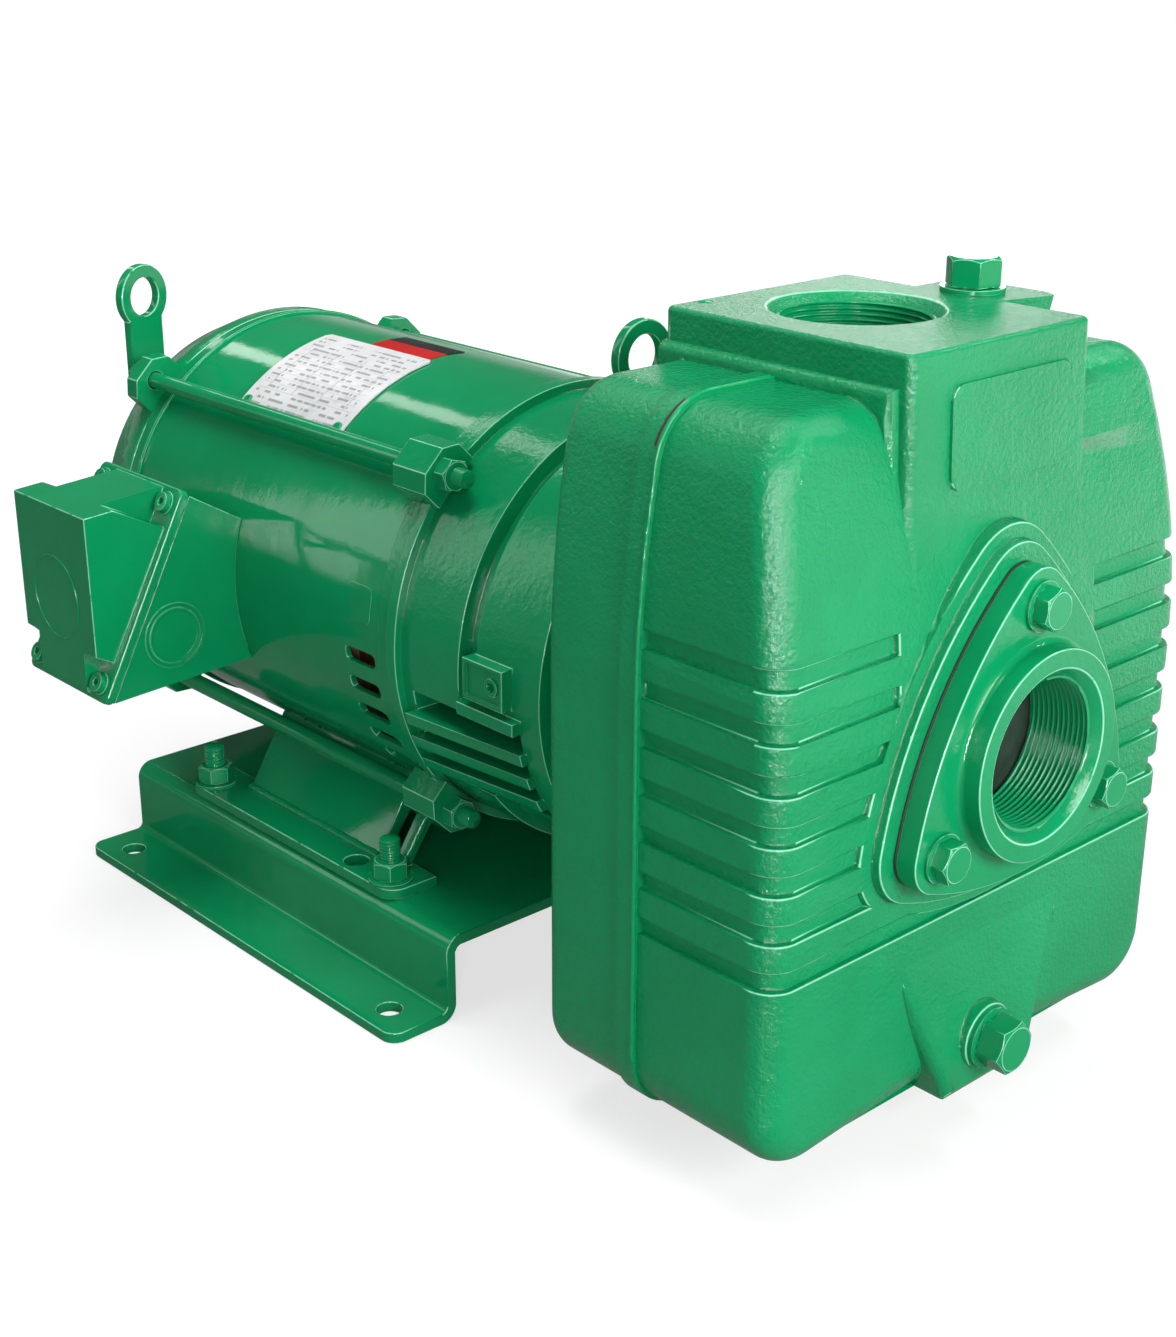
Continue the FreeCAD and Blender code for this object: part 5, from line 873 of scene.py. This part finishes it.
def bell_joint():
    """Rolled rim where the rear bell laps over the shell."""
    profile = [(98.3, -130.0), (99.2, -130.0), (99.3, -124.5), (100.1, -123.6), (100.2, -122.6),
               (99.6, -121.9), (98.3, -121.8)]
    form = turned_form(profile, 128, Matrix.Translation((0.0, 0.0, AXIS_Z)) @ FORWARD)
    mesh = mesh_of("bell_joint_rim", form, SHEET_GREEN)
    finished("bell_joint_rim", rounded(mesh, 0.2 * MM), "root")


# Conduit box details, most of them on the slope of the cover

SLOPE_RISE, SLOPE_RUN = 86.5, 45.0
SLOPE_LENGTH = math.hypot(SLOPE_RISE, SLOPE_RUN)
ON_SLOPE = (Matrix.Translation((-0.100, -0.1645, 0.1148))
            @ Matrix.Rotation(math.atan2(SLOPE_RISE, SLOPE_RUN), 4, "X"))
SCREW_INSET, COVER_WIDTH, COVER_SKIN = 6.5, 66.0, 5.5


def socket_cap(radius, height, socket):
    """Round screw head with a hexagonal socket and a collar, standing at the origin along Z."""
    def six_sided(reach):
        return lambda angle: reach * math.cos(math.pi / 6) / math.cos(angle % (math.pi / 3) - math.pi / 6)
    form = bmesh.new()
    collar, around = radius * 1.25, 36
    rings = [(collar, 0.0), (collar, height * 0.25), (radius, height * 0.3), (radius, height),
             (six_sided(socket), height), (six_sided(socket * 0.97), height * 0.35)]
    rows = [circle_row(form, reach, level, around) for reach, level in rings]
    join_rows(form, rows)
    form.faces.new(list(reversed(rows[0])))
    form.faces.new(rows[-1])
    return form


def cover_screws():
    screws = []
    for x in (SCREW_INSET, COVER_WIDTH - SCREW_INSET):
        for y in (SCREW_INSET, SLOPE_LENGTH - SCREW_INSET):
            form = socket_cap(radius=4.3 * MM, height=3.5 * MM, socket=1.9 * MM)
            form.transform(ON_SLOPE @ Matrix.Translation(Vector((x, y, COVER_SKIN)) * MM))
            screws.append(rounded(mesh_of("cover_screw", form, FASTENER_GREEN), 0.3 * MM))
    joined = together("cover_screw_set", screws)
    finished("cover_screw_set", joined, "root", ["conduit_screws"])


def knockout():
    """Punched disc with a groove round it, on the box's front wall."""
    profile = [(0.0, 0.0), (15.5, 0.0), (15.5, 0.5), (15.2, 0.8), (14.2, 0.8), (13.9, 0.35), (13.0, 0.35),
               (12.7, 0.7), (11.6, 0.7), (11.3, 0.45), (0.0, 0.45)]
    spot = (-0.034, -0.132, 0.1393)
    form = turned_form(profile, 64, Matrix.Translation(spot) @ FORWARD)
    mesh = mesh_of("knockout_disc", form, SHEET_GREEN)
    finished("knockout_disc", rounded(mesh, 0.1 * MM), "root", ["conduit_knockout"])


def cover_ring():
    """Round pressing on the cover's lower face, which leans from its base to its peak."""
    base, peak, across, up_face = Vector((0.0, 0.0065)), Vector((0.073, 0.045)), 0.033, 0.040
    along = (peak - base).normalized()
    middle = base + along * up_face
    lean = math.atan2(along.y, along.x)
    profile = [(18.4, -0.6), (19.6, -0.6), (19.45, 0.35), (19.2, 0.5), (18.8, 0.5), (18.55, 0.35)]
    place = ON_SLOPE @ Matrix.Translation((across, middle.x, middle.y)) @ Matrix.Rotation(lean, 4, "X")
    mesh = mesh_of("cover_pressing", turned_form(profile, 72, place), SHEET_GREEN)
    mesh.shade_smooth()
    finished("cover_pressing", mesh, "root")


cover_screws()
knockout()
cover_ring()
bell_joint()


# Curved sheets that lie on the motor shell

SHEET_ROWS, SHEET_COLUMNS = 24, 12
SHEET_BORDER = ([(0, column) for column in range(SHEET_COLUMNS)]
                + [(row, SHEET_COLUMNS) for row in range(SHEET_ROWS)]
                + [(SHEET_ROWS, column) for column in range(SHEET_COLUMNS, 0, -1)]
                + [(row, 0) for row in range(SHEET_ROWS, 0, -1)])


def curved_sheet(name, start, end, low, high, lift, thickness, material, replaces=(), corner=0.0):
    """Sheet over a stretch of the shell, between two angles above the near side, with its own UVs.

    Lift is its gap from the shell, and corner the round of its corners."""
    form = bmesh.new()
    layer = form.loops.layers.uv.new("UVMap")
    low, high = math.radians(low), math.radians(high)
    reach = corner / ((high - low) * SHELL_RADIUS)
    spots = {}
    grids = []
    for radius in (SHELL_RADIUS + lift, SHELL_RADIUS + lift + thickness):
        grid = {}
        for row in range(SHEET_ROWS + 1):
            v = row / SHEET_ROWS
            near = min(v, 1.0 - v)
            inset = 0.0
            if near < reach:
                inset = corner * (1.0 - math.sqrt(max(0.0, 1.0 - (1.0 - near / reach) ** 2)))
            angle = low + (high - low) * v
            for column in range(SHEET_COLUMNS + 1):
                x = (start + inset) + (end - start - 2 * inset) * column / SHEET_COLUMNS
                tip = form.verts.new((x, -radius * math.cos(angle), AXIS_Z + radius * math.sin(angle)))
                grid[row, column] = tip
                spots[tip] = ((x - start) / (end - start), v)
        grids.append(grid)
    inner, outer = grids
    quads = []
    for row in range(SHEET_ROWS):
        for column in range(SHEET_COLUMNS):
            square = [(row, column), (row, column + 1), (row + 1, column + 1), (row + 1, column)]
            quads.append([outer[place] for place in square])
            quads.append([inner[place] for place in reversed(square)])
    for here, after in zip(SHEET_BORDER, SHEET_BORDER[1:] + SHEET_BORDER[:1]):
        quads.append([inner[here], inner[after], outer[after], outer[here]])
    for quad in quads:
        for loop in form.faces.new(quad).loops:
            loop[layer].uv = spots[loop.vert]
    bmesh.ops.recalc_face_normals(form, faces=form.faces)
    mesh = mesh_of(name, form, material)
    finished(name, rounded(mesh, 0.12 * MM, sharp=40.0), "root", replaces)


curved_sheet("nameplate_sheet", start=-0.072, end=0.007, low=46.0, high=82.0, lift=0.0003, thickness=0.0008,
             material=PLATE, replaces=["nameplate"], corner=0.002)
curved_sheet("maker_label_blank", start=-0.042, end=0.002, low=82.6, high=95.0, lift=0.0001, thickness=0.0003,
             material=LABEL)
curved_sheet("shell_pressing", start=0.050, end=0.067, low=4.5, high=14.0, lift=-0.0002, thickness=0.0005,
             material=SHEET_GREEN, corner=0.003)


def plate_rivets():
    angle = math.radians(49.5)
    normal = Vector((0.0, -math.cos(angle), math.sin(angle)))
    rivets = []
    for x in (-0.0675, 0.0025):
        place = Vector((x, 0.0, AXIS_Z)) + normal * (SHELL_RADIUS + 0.0010)
        standing = Matrix.Translation(place) @ normal.to_track_quat("Z", "Y").to_matrix().to_4x4()
        rivet = discs([place], standing, radius=2.6, height=1.2, dome=0.8, crown=0.55)
        rivets.append(rounded(rivet, 0.1 * MM))
    finished("plate_rivets", together("plate_rivets", rivets), "root")


plate_rivets()


# Threads in the two ports, in millimetres

THREAD_CREST, THREAD_ROOT, THREAD_BACK, THREAD_PITCH = 27.9, 29.1, 29.35, 2.21
THREAD_FORM = [0.0, 0.12, 0.5, 0.88, 1.0, 0.88, 0.5, 0.12]


def port_thread(name, standing, length):
    """Sleeve whose inside is a helical pipe thread, standing on the port's mouth and reaching inwards."""
    around, steps = 112, len(THREAD_FORM)
    rows = int(math.ceil(length / THREAD_PITCH * steps)) + 2 * steps
    form = bmesh.new()
    grid = []
    for index in range(around):
        angle = 2 * math.pi * index / around
        line = []
        for row in range(rows):
            height = ((row / steps - 1.0) + index / around) * THREAD_PITCH
            radius = THREAD_ROOT - (THREAD_ROOT - THREAD_CREST) * THREAD_FORM[row % steps]
            if height < 0.0 or height > length:
                radius, height = THREAD_BACK, min(max(height, 0.0), length)
            reach = radius * MM
            line.append(form.verts.new((reach * math.cos(angle), reach * math.sin(angle), height * MM)))
        grid.append(line)
    for index in range(around):
        here, beyond = grid[index], grid[(index + 1) % around]
        shift = steps if index == around - 1 else 0
        for row in range(rows - 1):
            corners = [here[row], here[row + 1], beyond[min(row + 1 + shift, rows - 1)],
                       beyond[min(row + shift, rows - 1)]]
            form.faces.new(list(dict.fromkeys(corners)))
        form.faces.new((here[0], beyond[0], beyond[-1], here[-1]))
    bmesh.ops.remove_doubles(form, verts=form.verts, dist=1e-7)
    bmesh.ops.dissolve_degenerate(form, dist=1e-7, edges=form.edges)
    bmesh.ops.holes_fill(form, edges=[edge for edge in form.edges if edge.is_boundary])
    bmesh.ops.recalc_face_normals(form, faces=form.faces)
    form.transform(standing)
    mesh = mesh_of(name, form, SMOOTH_CAST_GREEN)
    mesh.shade_smooth()
    mesh.set_sharp_from_angle(angle=math.radians(60.0))
    finished(name, mesh, "root")


DOWNWARD = Matrix.Rotation(math.pi, 4, "X")
port_thread("suction_port_thread", Matrix.Translation((0.3365, 0.0, PORT_Z)) @ REARWARD, 26.0)
port_thread("discharge_port_thread", Matrix.Translation((0.240, 0.0, 0.3055)) @ DOWNWARD, 24.0)


# Welds on the motor feet, and the paint bead and open line of the casing's joint, in millimetres

def bead_along(name, lines, radius, seed, rough=0.4, material=WELD_GREEN):
    form = bmesh.new()
    for line in lines:
        points = [form.verts.new(Vector(place) * MM) for place in line]
        for first, second in zip(points, points[1:]):
            form.edges.new((first, second))
    mesh = grow(BEADS, mesh_of("bead_path", form), material,
                {"Radius": radius * MM, "Rough": radius * rough * MM, "Seed": seed})
    mesh.shade_smooth()
    finished(name, mesh, "root")


SADDLE_SIDE, WELD_ENDS = 60.5, (-51.0, 51.0)
SADDLE_LEVEL = AXIS_Z / MM - math.sqrt((SHELL_RADIUS / MM) ** 2 - SADDLE_SIDE ** 2) + 0.5
for side, foot in ((-1, "near"), (1, "far")):
    saddle = [(x, side * SADDLE_SIDE, SADDLE_LEVEL) for x in WELD_ENDS]
    root = [(x, side * 86.2, 45.4) for x in WELD_ENDS]
    gusset = [(67.4, side * 86.5, 45.5), (67.4, side * 76.0, 60.0), (67.4, side * 66.0, 76.0)]
    bead_along("foot_weld_" + foot, [root, saddle, gusset], 2.0, seed=3 + side)

BEAD_FOOT, BLOCK_SIDE, BEAD_PLANE, OPEN_PLANE = 46.0, 57.0, 250.3, 248.6
OPEN_STRETCH = slice(22, 27)


def casing_rim(plane, side, rise):
    """Points along the casing's outline on one side, from a level near the foot up and over to the block."""
    half, shoulder, swell = CASING_HALF / MM, SHOULDER / MM, SWELL / MM
    high, bend = CASING_HIGH / MM, TOP_ROUND / MM
    points = [(half, BEAD_FOOT + (shoulder - BEAD_FOOT) * step / 12.0) for step in range(12)]
    for step in range(9):
        z = shoulder + (high - bend - shoulder) * step / 8.0
        points.append((half + math.sqrt(swell ** 2 - (z - shoulder) ** 2) - swell, z))
    middle = points[-1][0] - bend
    points = [(y + rise, z) for y, z in points]
    for step in range(1, 9):
        angle = math.radians(90.0 * step / 8.0)
        reach = bend + rise
        points.append((middle + reach * math.cos(angle), high - bend + reach * math.sin(angle)))
    points.append((BLOCK_SIDE, high + rise))
    return [(plane, side * y, z) for y, z in points]


for side, name in ((-1, "near"), (1, "far")):
    bead_along("casing_bead_" + name, [casing_rim(BEAD_PLANE, side, 1.3)], 1.0, seed=8 + side, rough=0.12)
bead_along("open_joint_line", [casing_rim(OPEN_PLANE, -1, 0.55)[OPEN_STRETCH]], 1.2, seed=12, rough=0.2,
           material=RUST)


# Floor, light and camera

def ray_kinds(tree):
    """Whether a ray comes from the camera, and whether from a reflection or through glass."""
    path = shader_node(tree, "LightPath").outputs
    mirrored = arithmetic(tree, "MAXIMUM", path["Is Glossy Ray"], path["Is Transmission Ray"])
    return path["Is Camera Ray"], mirrored


def make_floor():
    """White floor that keeps a soft shadow. Reflections see it dim, but bright far off on the right."""
    mesh = bpy.data.meshes.new("floor")
    reach = 6.0
    corners = [(-reach, -reach, 0), (reach, -reach, 0), (reach, reach, 0), (-reach, reach, 0)]
    mesh.from_pydata(corners, [], [(0, 1, 2, 3)])
    material, tree, shader = start_material("pale_floor", Roughness=0.8, Specular_IOR_Level=0.0,
                                            Emission_Strength=1.0)
    from_camera, mirrored = ray_kinds(tree)
    place = texture_place(tree)
    distance = shader_node(tree, "VectorMath", {0: place}, operation="LENGTH").outputs["Value"]
    far = ramp(tree, distance, 0.4, 1.1)
    rightward = shader_node(tree, "VectorMath", {0: place, 1: (0.68, 0.73, 0.0)}, operation="DOT_PRODUCT")
    right = ramp(tree, rightward.outputs["Value"], -0.4, 0.5)
    pale = mix_colours(tree, noise(tree, place, 3.0), grey(0.40), grey(0.44))
    reflected = mix_colours(tree, mirrored, pale, grey(0.12))
    tree.links.new(mix_colours(tree, from_camera, reflected, grey(0.34)), shader.inputs["Base Color"])
    seen = mix_colours(tree, right, grey(0.08), mix_colours(tree, far, grey(0.25), grey(1.6)))
    unlit = mix_colours(tree, mirrored, grey(0.0), seen)
    glow = mix_colours(tree, far, grey(0.70), grey(1.0))
    tree.links.new(mix_colours(tree, from_camera, unlit, glow), shader.inputs["Emission Color"])
    mesh.materials.append(material)
    add_object("floor", mesh)


def make_lamp(name, direction, target, distance, size, power, shine_only=False):
    """Rectangular softbox that looks at the target. One with shine_only gives highlights alone."""
    lamp = bpy.data.lights.new(name, "AREA")
    lamp.shape = "RECTANGLE"
    lamp.size, lamp.size_y = size
    lamp.energy = power
    item = add_object(name, lamp)
    item.visible_diffuse = not shine_only
    away = Vector(direction).normalized()
    item.location = Vector(target) + away * distance
    item.rotation_euler = (-away).to_track_quat("-Z", "Y").to_euler()


def make_world(ambient, horizon, ceiling):
    """Even light on the object. The camera sees white, and reflections a grey horizon and a dimmer ceiling."""
    world = bpy.data.worlds.new("studio")
    bpy.context.scene.world = world
    world.use_nodes = True
    tree = world.node_tree
    background = tree.nodes["Background"]
    background.inputs["Color"].default_value = (1.0, 1.0, 1.0, 1.0)
    from_camera, mirrored = ray_kinds(tree)
    level = parts_of(tree, texture_place(tree, "Generated"))["Z"]
    room = ramp(tree, level, 0.02, 0.25, horizon, ceiling)
    lit = shader_node(tree, "MapRange", {"Value": mirrored, "To Min": ambient, "To Max": room})
    strength = shader_node(tree, "MapRange", {"Value": from_camera, "To Min": lit.outputs["Result"],
                                              "To Max": 1.0})
    tree.links.new(strength.outputs["Result"], background.inputs["Strength"])


def make_camera(spot, azimuth, height, roll, lens):
    """Camera at the photograph's viewing angle, its angles in degrees."""
    azimuth, height, roll = (math.radians(angle) for angle in (azimuth, height, roll))
    back = Vector((math.sin(azimuth) * math.cos(height), -math.cos(azimuth) * math.cos(height),
                   math.sin(height)))
    right = Vector((math.cos(azimuth), math.sin(azimuth), 0.0))
    up = right.cross(-back)
    side = math.cos(roll) * right + math.sin(roll) * up
    top = math.cos(roll) * up - math.sin(roll) * right
    camera = bpy.data.cameras.new("camera")
    camera.sensor_width = 36.0
    camera.lens = lens
    camera.clip_start = 0.05
    item = add_object("camera", camera)
    item.matrix_world = Matrix.Translation(spot) @ Matrix((side, top, back)).transposed().to_4x4()
    bpy.context.scene.camera = item


MIDDLE, NEAR_CORNER, BLOCK_TOP = (0.08, 0.0, 0.16), (0.30, -0.10, 0.25), (0.25, 0.0, 0.31)
make_floor()
# Each lamp's name, direction, target, distance, width and height, power in watts, and whether for shine only
for lamp in (("key_softbox", (0.93, -0.08, 0.35), MIDDLE, 1.6, (0.8, 0.6), 22.0),
             ("camera_side_strip", (0.64, -0.70, 0.24), (0.30, -0.10, 0.22), 1.4, (0.09, 0.7), 5.5),
             ("corner_card", (0.64, -0.70, 0.12), NEAR_CORNER, 1.4, (0.22, 0.6), 34.0, True),
             ("shell_strip", (-0.69, 0.10, 0.71), MIDDLE, 1.4, (0.12, 0.9), 1.6),
             ("left_softbox", (-0.69, -0.56, 0.45), MIDDLE, 1.5, (0.25, 0.9), 1.8),
             ("far_strip", (0.36, 0.63, 0.69), MIDDLE, 1.4, (0.6, 0.06), 5.0),
             ("top_softbox", (-0.1, -0.1, 1.0), MIDDLE, 1.4, (1.0, 0.5), 13.0),
             ("rear_softbox", (-0.62, 0.76, 0.19), BLOCK_TOP, 1.5, (0.45, 0.3), 1.8)):
    make_lamp(*lamp)
make_world(ambient=0.15, horizon=0.5, ceiling=0.12)
make_camera((0.7219, -0.5738, 0.4517), azimuth=47.51, height=20.96, roll=0.19, lens=54.89)
bpy.context.scene.view_settings.view_transform = "Standard"
